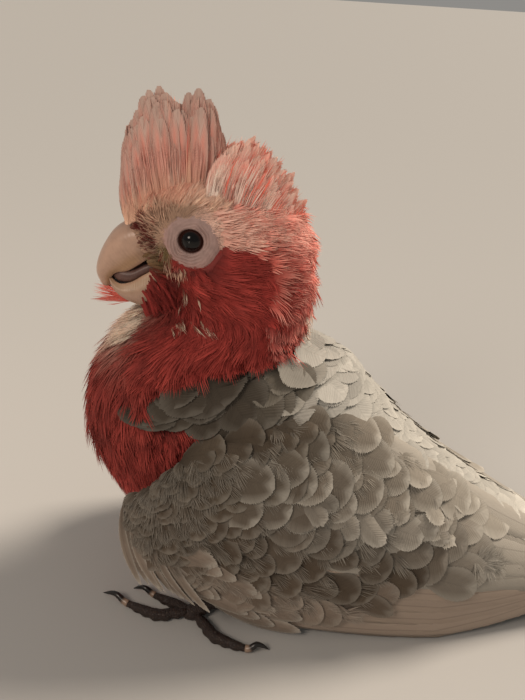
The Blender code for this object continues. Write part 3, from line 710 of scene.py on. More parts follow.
# Horny skin in small scales: dark, dry and half dull, with darker seams between them.
foot_skin, tree, shader = finish("scaly_foot_skin", 0.5, Specular_IOR_Level=0.45)
where = node(tree, "TexCoord")
scales = node(tree, "TexVoronoi", {
    "Vector": where.outputs["Object"], "Scale": FOOT_SCALES}, feature="DISTANCE_TO_EDGE")
cells = node(tree, "TexVoronoi", {"Vector": where.outputs["Object"], "Scale": FOOT_SCALES})
edge = node(tree, "MapRange", {
    "Value": scales.outputs["Distance"], "From Min": 0.02, "From Max": 0.22})
each = node(tree, "SeparateColor", {"Color": cells.outputs["Color"]})
tone = node(tree, "Mix", {
    "Factor": each.outputs["Red"], "A": (*linear("#2b201a"), 1),
    "B": (*linear("#403026"), 1)}, data_type="RGBA")
toned = node(tree, "Mix", {
    "Factor": edge.outputs["Result"], "A": (*linear("#2a1d1a"), 1),
    "B": tone.outputs["Result"]}, data_type="RGBA")
bump = node(tree, "Bump", {"Height": edge.outputs["Result"], "Strength": 0.7, "Distance": 0.0003})
wired(tree, shader, toned.outputs["Result"], bump)

# Hard horn polished by use: nearly black, with a tighter highlight than the bill's.
claw_horn, tree, shader = finish("claw_horn_keratin", 0.3, Specular_IOR_Level=0.55)
tint = node(tree, "Attribute", attribute_name="coat")
wired(tree, shader, tint.outputs["Color"])


def toe_path(middle, end, tip, size):
    """Points from the joint to the claw's tip, arched where the claw leaves the toe."""
    middle, end, tip = (np.array((*p, SOLE * size)) for p in (middle, end, tip))
    tip[2] = CLAW_TIP
    start = TOE_JOINT + (middle - TOE_JOINT) * 0.12
    return np.array([start, (start + middle) / 2, middle, end, (end + tip) / 2 + (0, 0, CLAW_ARCH), tip])


def digit(path, radii, span, around, count, scaled):
    """A tube along part of a path. Toes swell into pads below and carry a step at each wide scale above."""
    t = np.linspace(*span, count)
    line = spline(path, t)
    size = np.interp((t - span[0]) / (span[1] - span[0]), np.linspace(0, 1, len(radii)), radii)
    ahead = unit(spline(path, np.minimum(t + 0.03, span[1])) - spline(path, np.maximum(t - 0.03, span[0])))
    side = unit(np.cross(ahead, (0, 0, 1.0)))
    up = np.cross(side, ahead)
    angle = circle(around)[None, :]
    run = np.append(0, np.cumsum(np.linalg.norm(np.diff(line, axis=0), axis=1)))[:, None]
    top = np.clip(np.sin(angle), 0, 1) ** 0.7
    swell = 1 + scaled * (0.07 * (top * np.abs(np.sin(math.pi * run / SCUTE)) ** 0.5 - 0.5)
                          + 0.11 * (1 - top) * np.cos(2 * math.pi * run / PAD))
    ends = np.sin(math.pi * np.clip(np.linspace(0, 1, count) * (1 - 1e-3), 0.04, 1)) ** 0.3
    ends = np.maximum(ends, 0.55) if scaled else np.ones(count)
    reach = size[:, None] * swell * ends[:, None]
    rings = line[:, None] + reach[..., None] * (
        np.cos(angle)[..., None] * side[:, None] + np.sin(angle)[..., None] * up[:, None])
    rings[..., 2] = np.maximum(rings[..., 2], 0.0)
    return rings


for side, hand in ((1, "left"), (-1, "right")):
    shank = [HOCK + (0.5, 0, 1.5), (HOCK + TOE_JOINT) / 2, TOE_JOINT, TOE_JOINT + (-2.5, -0.5, -0.5)]
    parts = [tube(digit(np.array(shank), (3.4, 2.9, 3.5, 2.9), (0, 3), 28, 60, 1.0))]
    for toe, (middle, end, tip, size) in TOES.items():
        path = toe_path(middle, end, tip, size)
        parts.append(tube(digit(path, (size, size * 0.93, size, size * 0.86), (0, 3.12), 24, 90, 1.0)))
        rings = digit(path, (size * 0.60, size * 0.5, size * 0.34, 0.12), (3.0, 5), 18, 30, 0.0)
        points, faces = tube(rings)
        claw = mesh_object(f"claw_horn_{hand}_{toe}", points * (1, side, 1), faces, claw_horn)
        share = np.append(np.repeat(np.linspace(0, 1, 30), 18), (0, 1))
        attribute(claw, "coat", mixed(linear("#9c8371"), linear("#1d1816"), smooth(share, 0.08, 0.22)))
        if side < 0:
            claw.data.flip_normals()
        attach(claw, "root")
        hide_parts(f"claw_{hand}_{toe}")
    points, faces = joined(parts)
    foot = mesh_object(f"foot_skin_{hand}", points * (1, side, 1), faces, foot_skin)
    if side < 0:
        foot.data.flip_normals()
    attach(foot, "root")
    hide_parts(f"foot_{hand}")

# ---------------------------------------------------------------- tail
# Twelve stiff flight feathers in a short fan, the middle pair on top, each a flat vane on a shaft. The
# vanes are built barb by barb: the barbs hook together over most of their length and part only at the
# feather's edge.


def vane_shape(barbs, rings, widest, blunt, lag):
    """A vane laid out flat, as shares: x from root to tip, y from shaft to edge. The outline's half width is
    sin(pi t**e)**blunt at share t, e set by where it is widest. Each barb leaves the shaft behind its end by
    lag times that width, is joined to its neighbours up to the last ring, and ends in a tooth of its own."""
    power = math.log(0.5) / math.log(widest)
    t = 1 - (1 - np.linspace(0, 1, barbs + 1)) ** 1.3
    middle = (t[1:] + t[:-1]) / 2 + 0.25 * (t[1:] - t[:-1])
    columns = [(t, 0.0, 0.0)] + [(t, c, side) for side in (1, -1) for c in rings]
    columns += [(middle, 1.0, side) for side in (1, -1)]
    x, y, edge, run, tooth, first = [], [], [], [], [], []
    for where, c, side in columns:
        half = np.sin(math.pi * where**power) ** blunt
        first.append(sum(len(part) for part in x))
        x.append(where - lag * half * (1 - c))
        y.append(side * c * half)
        edge.append(np.maximum(c, smooth(where, 0.84, 1.0)))
        run.append(where)
        tooth.append(np.full(len(where), float(c == 1.0)))
    quads, tris, j = [], [], np.arange(barbs)
    for side in (0, 1):
        chain = [first[0]] + [first[1 + side * len(rings) + k] for k in range(len(rings))]
        flip = 1 if side == 0 else -1
        for low, high in zip(chain, chain[1:]):
            quads.append(np.stack([low + j, low + j + 1, high + j + 1, high + j], -1)[:, ::flip])
        ends = first[1 + 2 * len(rings) + side]
        tris.append(np.stack([chain[-1] + j, chain[-1] + j + 1, ends + j], -1)[:, ::flip])
    return dict(
        x=np.concatenate(x), y=np.concatenate(y), edge=np.concatenate(edge), run=np.concatenate(run),
        tooth=np.concatenate(tooth), quads=np.concatenate(quads), tris=np.concatenate(tris))


def strand_shape(strands, width, foot=0.2, taper=0.35, segments=2):
    """A tuft of fine strands laid out flat: they leave one root, open like a fan and end in points. The outer
    ones are shorter by taper times the square of their share of the spread."""
    across = np.linspace(-1, 1, strands)
    reach = 1 - taper * across**2
    steps = np.linspace(0, 1, segments + 1)
    x, y, edge, tooth, run, quads, tris = [], [], [], [], [], [], []
    for k, f in enumerate(steps):
        middle = across * (foot + (1 - foot) * f**0.8)
        thick = width * (1 - 0.55 * f) if k < segments else 0
        for side in ((1, -1) if k < segments else (0,)):
            x.append(reach * f)
            y.append(middle + side * thick)
            edge.append(np.full(strands, f))
            tooth.append(np.full(strands, f))
            run.append(across * 0 + f)
    i = np.arange(strands)
    for k in range(segments - 1):
        a, b = 2 * k * strands + i, (2 * k + 1) * strands + i
        quads.append(np.stack([a, b, b + 2 * strands, a + 2 * strands], -1))
    a, b = 2 * (segments - 1) * strands + i, (2 * segments - 1) * strands + i
    tris.append(np.stack([a, b, 2 * segments * strands + i], -1))
    return dict(
        x=np.concatenate(x), y=np.concatenate(y), edge=np.concatenate(edge), run=np.concatenate(run),
        tooth=np.concatenate(tooth), quads=np.concatenate(quads), tris=np.concatenate(tris))


PATCH = 0.003  # size of each feather's own place on the map for baking, as a share of the map


def grown(shape, at, out, length, half, rise, camber, fray, rng, colour, root, dark=0.55, rim=None,
          rim_share=0.0, rim_power=4.0, root_tone=None, vary=0.08, curl=0.0, roll=0.0, roof=0.0):
    """A batch of feathers of one shape. at and out are points and normals sampled along each feather's
    midline; half is the half width in mm; rise is the height over the midline at root and tip. The edges
    bend down by camber, the teeth stray by fray mm, roll tips the vane sideways and roof folds its inner
    half down."""
    steps = at.shape[1] - 1
    count = len(at)
    length, half = np.broadcast_to(length, count), np.broadcast_to(half, count)
    rise = np.broadcast_to(np.asarray(rise, float), (count, 2))
    place = np.clip(shape["x"], 0, 1) * steps
    i = np.minimum(place.astype(int), steps - 1)
    f = (place - i)[None, :, None]
    middle = at[:, i] * (1 - f) + at[:, i + 1] * f
    normal = unit(out[:, i] * (1 - f) + out[:, i + 1] * f)
    ahead = unit(at[:, i + 1] - at[:, i])
    side = np.cross(ahead, normal)
    x, y, tooth = shape["x"][None, :], shape["y"][None, :], shape["tooth"][None, :]
    stray = rng.normal(size=(3, count, len(shape["x"]))) * fray * tooth
    up = rise[:, :1] + (rise[:, 1:] - rise[:, :1]) * x + np.reshape(curl, (-1, 1)) * x**3
    up = up - camber * half[:, None] * np.abs(y) ** 2 + 0.5 * np.abs(stray[0])
    tipped, folded = np.reshape(roll, (-1, 1)) * y * x, np.reshape(roof, (-1, 1)) * np.minimum(y, 0)
    up = up + half[:, None] * (tipped + folded)
    points = (middle + side * (y * half[:, None] + 0.6 * stray[1])[..., None] + normal * up[..., None]
              + ahead * stray[2][..., None])
    # Painted shade: a feather's colour is scaled down towards its root, for the shade of the feathers that
    # lie over it there; a factor above 1 lightens the root instead.
    tone = np.broadcast_to(colour, (count, 3))[:, None] * (dark + (1 - dark) * smooth(x, 0, 0.6))[..., None]
    if root_tone is not None:
        tone = mixed(root_tone, tone, smooth(x, 0.1, 0.6))
    if rim is not None:
        tone = mixed(tone, rim, rim_share * shape["edge"] ** rim_power)
    tone = tone * (1 + vary * rng.normal(size=(count, 1, 1)))
    tone = tone * (1 + 0.5 * vary * rng.normal(size=tone.shape[:2] + (1,)))
    vane = np.stack(np.broadcast_arrays(y * half[:, None], shape["run"][None] * length[:, None]), -1)
    patch = root[:, None] + PATCH * np.stack([0.5 * y, x - 0.5], -1)
    return dict(
        points=points, colour=np.clip(tone, 0, 1), vane=vane, patch=patch, quads=shape["quads"],
        tris=shape["tris"])


LOWEST = 0.15  # mm over the floor, for the lowest feather


def mirrored(batch):
    """The same batch on the bird's right side, its faces turned round and its patches on the other half."""
    return dict(
        batch, points=batch["points"] * (1, -1, 1), quads=batch["quads"][:, ::-1],
        tris=batch["tris"][:, ::-1], patch=batch["patch"] * (-1, 1) + (1, 0))


def coat(name, batches, paint, slot, *nodes):
    """Joins batches into one piece with its colours, the map that the barbs follow and the map for baking."""
    points, quads, tris, start = [], [], [], 0
    for batch in batches:
        count, each = batch["points"].shape[:2]
        base = (start + np.arange(count) * each)[:, None, None]
        quads.append((batch["quads"][None] + base).reshape(-1, 4))
        tris.append((batch["tris"][None] + base).reshape(-1, 3))
        start += count * each
    points = np.concatenate([batch["points"].reshape(-1, 3) for batch in batches])
    points[:, 2] = np.maximum(points[:, 2], LOWEST)
    piece = mesh_object(name, points, [np.concatenate(quads), np.concatenate(tris)], paint)
    attribute(piece, "coat", np.concatenate([batch["colour"].reshape(-1, 3) for batch in batches]))
    corner = np.zeros(len(piece.data.loops), np.int32)
    piece.data.loops.foreach_get("vertex_index", corner)
    for key, label in (("patch", "OFBake"), ("vane", "vane")):
        layer = piece.data.uv_layers.new(name=label)
        flat = np.concatenate([batch[key].reshape(-1, 2) for batch in batches])
        layer.data.foreach_set("uv", flat[corner].astype(np.float32).ravel())
    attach(piece, "root")
    if nodes:
        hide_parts(*nodes)
    return piece


FELTING = 0.9  # patches to a mm of vane, where barbs lie closer or looser


def feather_paint(name, roughness, barb, contrast, shaft, bump_depth=0.00012):
    """Keratin vane: a sine wave across the barbs, barb mm from crest to crest, shades and raises them in
    fine lines, and a shaft runs down the middle. Real barbs lie about 0.3 mm apart: they are drawn wider,
    so that they show."""
    paint, tree, shader = finish(name, roughness, Specular_IOR_Level=0.3)
    tint = node(tree, "Attribute", attribute_name="coat")
    flat = node(tree, "UVMap", uv_map="vane")
    part = node(tree, "SeparateXYZ", {"Vector": flat.outputs["UV"]})
    phase = node(tree, "Math", {0: part.outputs["Y"], 1: 2 * math.pi / barb}, operation="MULTIPLY")
    wave = node(tree, "Math", {0: phase.outputs["Value"]}, operation="SINE")
    noise = node(tree, "TexNoise", {"Vector": flat.outputs["UV"], "Scale": FELTING, "Detail": 4.0})
    both = node(tree, "Math", {0: noise.outputs["Fac"], 1: 1.6, 2: -0.8}, operation="MULTIPLY_ADD")
    height = node(tree, "Math", {
        0: wave.outputs["Value"], 1: 0.5, 2: both.outputs["Value"]}, operation="MULTIPLY_ADD")
    shade = node(tree, "MapRange", {
        "Value": height.outputs["Value"], "From Min": -1.0, "From Max": 1.0, "To Min": 1 - contrast,
        "To Max": 1 + contrast})
    off = node(tree, "Math", {0: part.outputs["X"]}, operation="ABSOLUTE")
    line = node(tree, "MapRange", {
        "Value": off.outputs["Value"], "From Min": 0.15, "From Max": 0.45, "To Min": 1 + shaft,
        "To Max": 1.0})
    level = node(tree, "Math", {
        0: shade.outputs["Result"], 1: line.outputs["Result"]}, operation="MULTIPLY")
    toned = node(tree, "VectorMath", {
        0: tint.outputs["Color"], 1: level.outputs["Value"]}, operation="MULTIPLY")
    bump = node(tree, "Bump", {
        "Height": height.outputs["Value"], "Strength": 0.6, "Distance": bump_depth})
    wired(tree, shader, toned.outputs["Vector"], bump)
    return paint


VANE_THICKNESS = 0.25  # mm


def thickened(piece):
    """Gives stiff vanes their thickness, half of it to each side."""
    wall = piece.modifiers.new("thickness", "SOLIDIFY")
    wall.thickness, wall.offset = VANE_THICKNESS * MM, 0


TAIL_FEATHERS, TAIL_ROOT_X, TAIL_END_X, TAIL_SPREAD = 12, 112.0, 219.0, 20.5
LONG_VANE = vane_shape(40, (0.5, 0.93), 0.62, 0.42, 0.07)

# Stiff flight feather: a smooth closed vane with a dull sheen and a dark shaft.
flight_vane = feather_paint("flight_feather_vane", 0.62, 0.9, 0.04, -0.2)
dice = np.random.default_rng(3)
rank = np.arange(TAIL_FEATHERS) - (TAIL_FEATHERS - 1) / 2
share = np.linspace(0, 1, 9)[None, :]
end = rank[:, None] / rank.max()
tail_y = TAIL_SPREAD * end * (0.25 + 0.75 * share)
tail_x = TAIL_ROOT_X + (TAIL_END_X - 7 * np.abs(end) ** 2.5 - TAIL_ROOT_X) * share
tail_top = np.interp(tail_x, (112, 145, 171, 187, 201, 212, 221), (22.0, 15.5, 10.5, 7.2, 4.6, 3.0, 1.9))
tail_step = (0.32 + 0.1 * share) * np.abs(rank[:, None]) * np.interp(share, (0, 0.7, 1), (3, 1.6, 0.7))
tail_z = np.maximum(tail_top - 0.9 - tail_step, 0.5)
tail_at = np.stack(np.broadcast_arrays(tail_x, tail_y, tail_z), -1)
tail_out = unit(np.stack(np.broadcast_arrays(0.1, 0.18 * end, np.ones_like(tail_x)), -1))
tail_root = np.stack(
    [0.1 + 0.8 * np.arange(TAIL_FEATHERS) / (TAIL_FEATHERS - 1), np.full(TAIL_FEATHERS, 0.5)], -1)
tail = grown(
    LONG_VANE, tail_at, tail_out, tail_x[:, -1] - TAIL_ROOT_X, 6.8, (0, 0), 0.05, 0.25, dice,
    mixed(SLATE, UMBER, 0.4), tail_root, dark=1.15, rim=ASH, rim_share=0.45, vary=0.03, rim_power=8)
thickened(coat("tail_feathers", [tail], flight_vane, "dark_feathers", "tail"))

# ---------------------------------------------------------------- flight feathers of the wings
# Secondaries and primaries, long stiff vanes that lie closed over each other along the folded wing. The upper
# ones cover the lower, and the primaries run on to the wing's tip.


def laid(surface, p, q, heading, length, steps, low=(0.0, 0.0), high=(1.0, 1.0)):
    """Walks each feather's midline over a surface: at every step the heading is laid flat on the surface,
    turned into a step of its two parameters and followed. Past the surface's edge it runs straight on."""
    length = np.broadcast_to(length, p.shape)[:, None] / steps
    at, out = [], []
    h, place = 1e-3, surface(p, q)
    for _ in range(steps + 1):
        dp, dq = ((surface(p + a, q + b) - surface(p - a, q - b)) / (2 * h) for a, b in ((h, 0), (0, h)))
        normal = unit(np.cross(dp, dq))
        way = heading(place, unit(dp), unit(dq), p, q)
        way = unit(way - normal * (way * normal).sum(-1, keepdims=True))
        pp, pq, qq = (dp * dp).sum(-1), (dp * dq).sum(-1), (dq * dq).sum(-1)
        wp, wq, area = (dp * way).sum(-1), (dq * way).sum(-1), np.maximum(pp * qq - pq**2, 1e-6)
        at.append(place)
        out.append(normal)
        next_p = p + length[:, 0] * (qq * wp - pq * wq) / area
        next_q = q + length[:, 0] * (pp * wq - pq * wp) / area
        inside = (next_p > low[0]) & (next_p < high[0]) & (next_q > low[1]) & (next_q < high[1])
        p, q = np.clip(next_p, low[0] + h, high[0] - h), np.clip(next_q, low[1] + h, high[1] - h)
        place = np.where(inside[:, None], surface(p, q), place + way * length)
    return np.stack(at, 1), np.stack(out, 1)


def along_wing(place, dv, du, v, u):
    """Heading straight to the wing's tip."""
    return du


def wing_root(v, u):
    """Where a feather's root lies on the unwrapped wing."""
    return np.stack([0.03 + 0.44 * v, 0.05 + 0.9 * u], -1)


def sided(batches, side):
    """Batches made for the left side: as they are, or mirrored where side is negative."""
    return batches if side > 0 else [mirrored(batch) for batch in batches]


def flight(rng):
    """Secondaries then primaries of one wing: v across the wing, where they start and how long they are."""
    batches = []
    for start, end, v, spread_u, half, lift, tone in (
        (0.18, 0.86, np.linspace(0.58, 0.04, 5), -0.10, 8.6, -0.4, mixed(SLATE, ASH, 0.8)),
        (0.10, 0.985, np.linspace(0.96, 0.60, 5), -0.03, 7.4, -1.0, TAN),
    ):
        rank = np.linspace(0, 1, len(v))
        u = start + 0.02 * rank
        tip = end + spread_u * rank
        track = u[:, None] + (tip - u)[:, None] * np.linspace(0, 1, 13)
        level = np.broadcast_to(v[:, None], track.shape) * (1 - 0.12 * np.linspace(0, 1, 13) ** 2)
        at = wing(level, track)
        out = unit(np.cross(
            wing(level + 0.01, track) - wing(level - 0.01, track),
            wing(level, track + 0.01) - wing(level, track - 0.01)))
        length = np.linalg.norm(np.diff(at, axis=1), axis=-1).sum(1)
        thin = np.interp(tip, (0.7, 1), (1, 0.62))
        colour = mixed(tone, ASH, 0.25 * rank) if end < 0.9 else mixed(tone, TAN, 0.5 * smooth(v, 0.8, 1.0))
        height = np.stack([lift + 0.4 * rank - 1.6, lift + 0.5 * rank + 0.3], -1)
        batches.append(grown(
            LONG_VANE, at, out, length, half * thin, height, 0.18, 0.08, rng, colour, wing_root(v, u),
            dark=0.95, rim=PEARL, rim_share=0.2, vary=0.02, rim_power=12))
    return batches


for side, hand, seed in ((1, "left", 11), (-1, "right", 12)):
    batches = sided(flight(np.random.default_rng(seed)), side)
    thickened(coat(
        f"flight_feathers_{hand}", batches, flight_vane, "dark_feathers", f"wing_secondaries_{hand}",
        f"wing_primaries_{hand}"))

# ---------------------------------------------------------------- coverts of the wings
# Short rounded contour feathers that shingle the fore wing in uneven rows, smallest at the shoulder. The
# lowest are long and slender and hang free along the wing's front edge. A young bird's are soft and a
# little ruffled.

ROUND_VANE = vane_shape(30, (0.55, 0.94), 0.64, 0.5, 0.25)
SMALL_VANE = vane_shape(18, (0.9,), 0.6, 0.55, 0.22)
SLIM_VANE = vane_shape(20, (0.55, 0.9), 0.58, 0.58, 0.14)
TERTIAL_VANE = vane_shape(34, (0.5, 0.94), 0.7, 0.45, 0.3)
LOOSE_TUFT = strand_shape(9, 0.10, taper=0.3)

# Contour feather: a softer vane than the flight feathers', duller, with its shaft barely darker.
body_vane = feather_paint("contour_feather_vane", 0.78, 0.62, 0.05, -0.08, 0.00008)


def varied(rng, count, share):
    """Factors round 1, normally spread by a share."""
    return 1 + share * rng.normal(size=count)


def down_and_back(place, dv, du, v, u):
    """Heading to the wing's tip that leans down: most at the wrist and near the upper edge."""
    lean = 1.5 * smooth(u, 0.34, 0.05) * (1 - 0.7 * v) + 0.75 * (1 - v) ** 0.7 * smooth(u, 0.55, 0.25) + 0.12
    return du + dv * lean[:, None]


def strayed(lead, stray):
    """A heading that strays from another by a share of its own for each feather."""
    return lambda place, dp, dq, p, q: lead(place, dp, dq, p, q) + dp * stray[:, None]


COVERT_ROWS = [  # shape, first and last u, rows, v from and to, length, half width, gap, height at the tip
    (SMALL_VANE, 0.010, 0.150, 8, 0.00, 0.84, 9.5, 4.0, 4.7, 0.0),
    (ROUND_VANE, 0.165, 0.290, 5, 0.00, 0.84, 15.0, 6.2, 7.2, 0.2),
    (ROUND_VANE, 0.310, 0.420, 4, 0.02, 0.90, 19.0, 7.4, 8.6, 0.4),
    (ROUND_VANE, 0.450, 0.480, 2, 0.03, 0.60, 20.0, 7.8, 9.2, 0.3),
]
HANGING = np.array([  # first and last of the free feathers at the wing's front edge: root, bend and tip in mm
    ((-48.5, -42.5, 63.0), (-52.5, -44.5, 44.0), (-41.0, -46.0, 26.0)),
    ((-35.0, -45.5, 55.0), (-33.0, -50.0, 34.0), (-14.0, -50.5, 17.0)),
])
SLIM_ROWS = [  # u from and to, v from and to, feathers, length, half width, height at tip
    (0.100, 0.300, 0.70, 0.86, 8, 33.0, 6.4, 0.7),
    (0.090, 0.330, 0.87, 0.96, 9, 32.0, 5.0, 0.2),
]
HANGING_COUNT, RUFFLES = 11, 330


def coverts(rng):
    """Rows of coverts from the front backwards, each row offset by half a gap from the one before."""
    batches = []
    for shape, first, last, rows, top, bottom, length, half, gap, tip in COVERT_ROWS:
        p, q = [], []
        for k, row in enumerate(np.linspace(first, last, rows)):
            v = np.linspace(top, bottom, 60)
            chord = np.append(0, np.cumsum(np.linalg.norm(np.diff(wing(v, v * 0 + row), axis=0), axis=1)))
            stops = np.arange(gap * (0.25 + 0.5 * (k % 2)), chord[-1], gap)
            p.append(np.interp(stops, chord, v))
            q.append(np.full(len(stops), row))
        p, q = np.concatenate(p), np.concatenate(q)
        count = len(p)
        p = np.clip(p + rng.normal(size=count) * 0.02, 0.004, 0.99)
        q = np.clip(q + rng.normal(size=count) * 0.008, 0.004, 0.99)
        reach = length * (1 + 0.2 * np.clip(rng.normal(size=count), -2, 2))
        at, out = laid(wing, p, q, strayed(down_and_back, 0.36 * rng.normal(size=count)), reach, 6)
        height = np.stack([np.full(count, -1.9), tip + 0.45 * np.abs(rng.normal(size=count))], -1)
        width = half * varied(rng, count, 0.16)
        batches.append(grown(
            shape, at, out, reach, width, height, 0.12, 0.12, rng, wing_colour(p, q), wing_root(p, q),
            dark=0.78, rim=PEARL, rim_share=0.2, curl=0.4 * rng.normal(size=count),
            roll=0.10 * rng.normal(size=count)))
    for first, last, top, bottom, count, length, half, tip in SLIM_ROWS:
        q = np.linspace(first, last, count) + rng.normal(size=count) * 0.004
        p = np.linspace(top, bottom, count) + rng.normal(size=count) * 0.012
        p, q = np.minimum(p, 0.985), np.maximum(q, 0.004)
        reach = length * varied(rng, count, 0.08)
        at, out = laid(wing, p, q, along_wing, reach, 8)
        height = np.stack([np.full(count, -1.6), tip * (0.6 + 0.5 * rng.random(count))], -1)
        batches.append(grown(
            SLIM_VANE, at, out, reach, half, height, 0.25, 0.12, rng, mixed(UMBER, TAN, 0.4),
            wing_root(p, q), dark=0.5, rim=PEARL, rim_share=0.45))
    count = HANGING_COUNT
    share = np.linspace(0, 1, count) + 0.03 * rng.normal(size=count)
    bend = HANGING[0] + (HANGING[1] - HANGING[0]) * share[:, None, None]
    bend = bend + 0.6 * rng.normal(size=(count, 3, 3))
    t = np.linspace(0, 1, 9)[None, :, None]
    at = bend[:, :1] * (1 - t) ** 2 + bend[:, 1:2] * 2 * t * (1 - t) + bend[:, 2:] * t**2
    out = np.broadcast_to(unit(np.array([-0.35, -1.0, 0.1])), at.shape)
    batches.append(grown(
        SLIM_VANE, at, out, 38.0, 1.9, (-0.5, 0.5), 0.3, 0.1, rng, mixed(UMBER, TAN, 0.4),
        wing_root(0.9 - 0.3 * share, 0.03 + 0 * share), dark=0.6, rim=PEARL, rim_share=0.5,
        roll=0.3 * rng.normal(size=count)))
    return batches


def ruffles(rng):
    """Loose barbs that stand between the coverts, finest at the shoulder."""
    p, q = rng.uniform(0.0, 0.86, RUFFLES), 0.46 * rng.random(RUFFLES) ** 0.8
    reach = np.interp(q, (0, 0.46), (6.0, 11.0)) * varied(rng, RUFFLES, 0.2)
    at, out = laid(wing, p, q, strayed(down_and_back, 0.4 * rng.normal(size=RUFFLES)), reach, 4)
    height = np.stack([np.full(RUFFLES, -1.2), 0.5 + 0.7 * np.abs(rng.normal(size=RUFFLES))], -1)
    return [grown(
        LOOSE_TUFT, at, out, reach, np.interp(q, (0, 0.46), (2.2, 3.6)), height, 0.1, 0.35, rng,
        wing_colour(p, q), wing_root(p, q), dark=0.7, rim=PEARL, rim_share=0.35, rim_power=2.0)]


SCAPULAR_ROWS = [  # v, first and last u, gap in u, length, half width, height at tip, fold along the shaft
    (0.32, 0.22, 0.45, 0.044, 20.0, 8.2, 1.2, 0.0),
    (0.21, 0.20, 0.49, 0.042, 24.0, 9.4, 1.7, 0.0),
    (0.11, 0.18, 0.52, 0.043, 26.0, 10.0, 1.9, 0.1),
    (0.04, 0.34, 0.56, 0.042, 26.0, 9.0, 1.7, 0.35),
]
LIFTED = 10


def shoulder_back(place, dv, du, v, u):
    """Heading to the wing's tip that leans down a little at the shoulder."""
    return du + dv * (0.26 * smooth(u, 0.55, 0.25))[:, None]


def scapulars(rng):
    """Broad shoulder feathers that fall over the top of the folded wing, palest at their rims. Those of the
    top row fold along their shafts, and lie down on the back with their inner halves."""
    batches = []
    for v, first, last, gap, length, half, tip, roof in SCAPULAR_ROWS:
        q = np.arange(first, last, gap)
        count = len(q)
        q = q + rng.normal(size=count) * 0.006
        p = np.clip(v + rng.normal(size=count) * 0.02, 0.004, 1)
        reach = length * varied(rng, count, 0.10)
        at, out = laid(wing, p, q, strayed(shoulder_back, 0.15 * rng.normal(size=count)), reach, 7)
        height = np.stack([np.full(count, -0.9), tip * 0.5 + 0.35 * np.abs(rng.normal(size=count))], -1)
        width = half * varied(rng, count, 0.08)
        batches.append(grown(
            ROUND_VANE, at, out, reach, width, height, 0.07, 0.14, rng, mixed(wing_colour(p, q), ASH, 0.12),
            wing_root(p, q), dark=0.62, rim=PEARL, rim_share=0.5, curl=0.4 * rng.normal(size=count),
            rim_power=7.0, roll=0.06 * rng.normal(size=count), roof=roof))
    count = LIFTED
    q = np.linspace(0.34, 0.52, count) + rng.normal(size=count) * 0.012
    p = np.linspace(0.30, 0.22, count) + rng.normal(size=count) * 0.025
    reach = 15.0 + 2.5 * rng.normal(size=count)
    at, out = laid(wing, p, q, strayed(down_and_back, 0.4 + 0.45 * rng.normal(size=count)), reach, 6)
    height = np.stack([np.full(count, -0.6), 1.3 + 0.7 * np.abs(rng.normal(size=count))], -1)
    width = 5.4 + 1.0 * rng.normal(size=count)
    batches.append(grown(
        ROUND_VANE, at, out, reach, width, height, 0.25, 0.45, rng, mixed(wing_colour(p, q), PEARL, 0.13),
        wing_root(p, q), dark=0.5, rim=PEARL, rim_share=0.35, curl=0.8 * rng.normal(size=count),
        roll=0.25 * rng.normal(size=count)))
    return batches


TERTIALS = np.array([  # u and v of the roots
    (0.505, 0.10), (0.50, 0.22), (0.51, 0.34), (0.50, 0.45), (0.49, 0.55),
])
FRAYED, FOLDED, FOLDED_LENGTH = 18, 9, 15.0  # tufts of the frayed spot, small folded feathers, and their mm


def tertials(rng, frayed):
    """Long grey feathers between the coverts and the flight feathers, with a frayed spot where they end if
    frayed is true, and small ones that fold over the front of the wing's upper edge, under the cape."""
    q, p = (TERTIALS + rng.normal(size=TERTIALS.shape) * 0.004).T
    reach = 31.0 * varied(rng, len(q), 0.06)
    at, out = laid(wing, p, q, strayed(along_wing, 0.05 + 0.08 * rng.normal(size=len(q))), reach, 8)
    vanes = grown(
        TERTIAL_VANE, at, out, reach, 7.6, (-2.2, 0.7), 0.08, 0.16, rng,
        mixed(wing_colour(p, q), ASH, 0.35), wing_root(p, q), dark=0.8, rim=PEARL, rim_share=0.35,
        rim_power=8.0, vary=0.04)
    q, p = 0.59 + 0.010 * rng.normal(size=FRAYED), 0.41 + 0.03 * rng.normal(size=FRAYED)
    reach = 8.0 * varied(rng, FRAYED, 0.2)
    at, out = laid(wing, p, q, strayed(down_and_back, 1.2 * rng.normal(size=FRAYED)), reach, 4)
    barbs = grown(
        LOOSE_TUFT, at, out, reach, 2.6, (0.0, 1.6), 0.1, 0.4, rng, mixed(wing_colour(p, q), PEARL, 0.35),
        wing_root(p, q), dark=0.9, rim=PEARL, rim_share=0.4, rim_power=2.0)
    q, p = np.linspace(0.07, 0.30, FOLDED), 0.006 + 0.01 * rng.random(FOLDED)
    stray = 0.3 + 0.15 * rng.normal(size=FOLDED)
    at, out = laid(wing, p, q, strayed(along_wing, stray), FOLDED_LENGTH, 6)
    # Painted shade: the small folded feathers take the darker grey of a place lower on the wing, for the
    # shade of the cape over them.
    folded = grown(
        ROUND_VANE, at, out, FOLDED_LENGTH, 6.4, (-0.8, 0.9), 0.1, 0.14, rng, wing_colour(p + 0.2, q),
        wing_root(p, q), dark=0.7, rim=PEARL, rim_share=0.15, roof=0.4)
    return [vanes, folded, barbs] if frayed else [vanes, folded]


for side, hand, seed in ((1, "left", 21), (-1, "right", 22)):
    dice = np.random.default_rng(seed)
    sets = {
        "covert_feathers": coverts(dice),
        "scapular_feathers": scapulars(dice),
        "loose_covert_barbs": ruffles(dice),
        "tertial_feathers": tertials(dice, side > 0),
    }
    for name, batches in sets.items():
        coat(f"{name}_{hand}", sided(batches, side), body_vane, "grey_feathers")

# ---------------------------------------------------------------- mantle, cape and rump
# Broad grey contour feathers over the back. Their front rows hang over the neck's side as a loose cape,
# whose edge stands off the breast, and long pale ones cover the rump and the root of the tail.

body_area = np.linalg.norm(np.cross(np.gradient(body_grid, axis=0), np.gradient(body_grid, axis=1)), axis=-1)


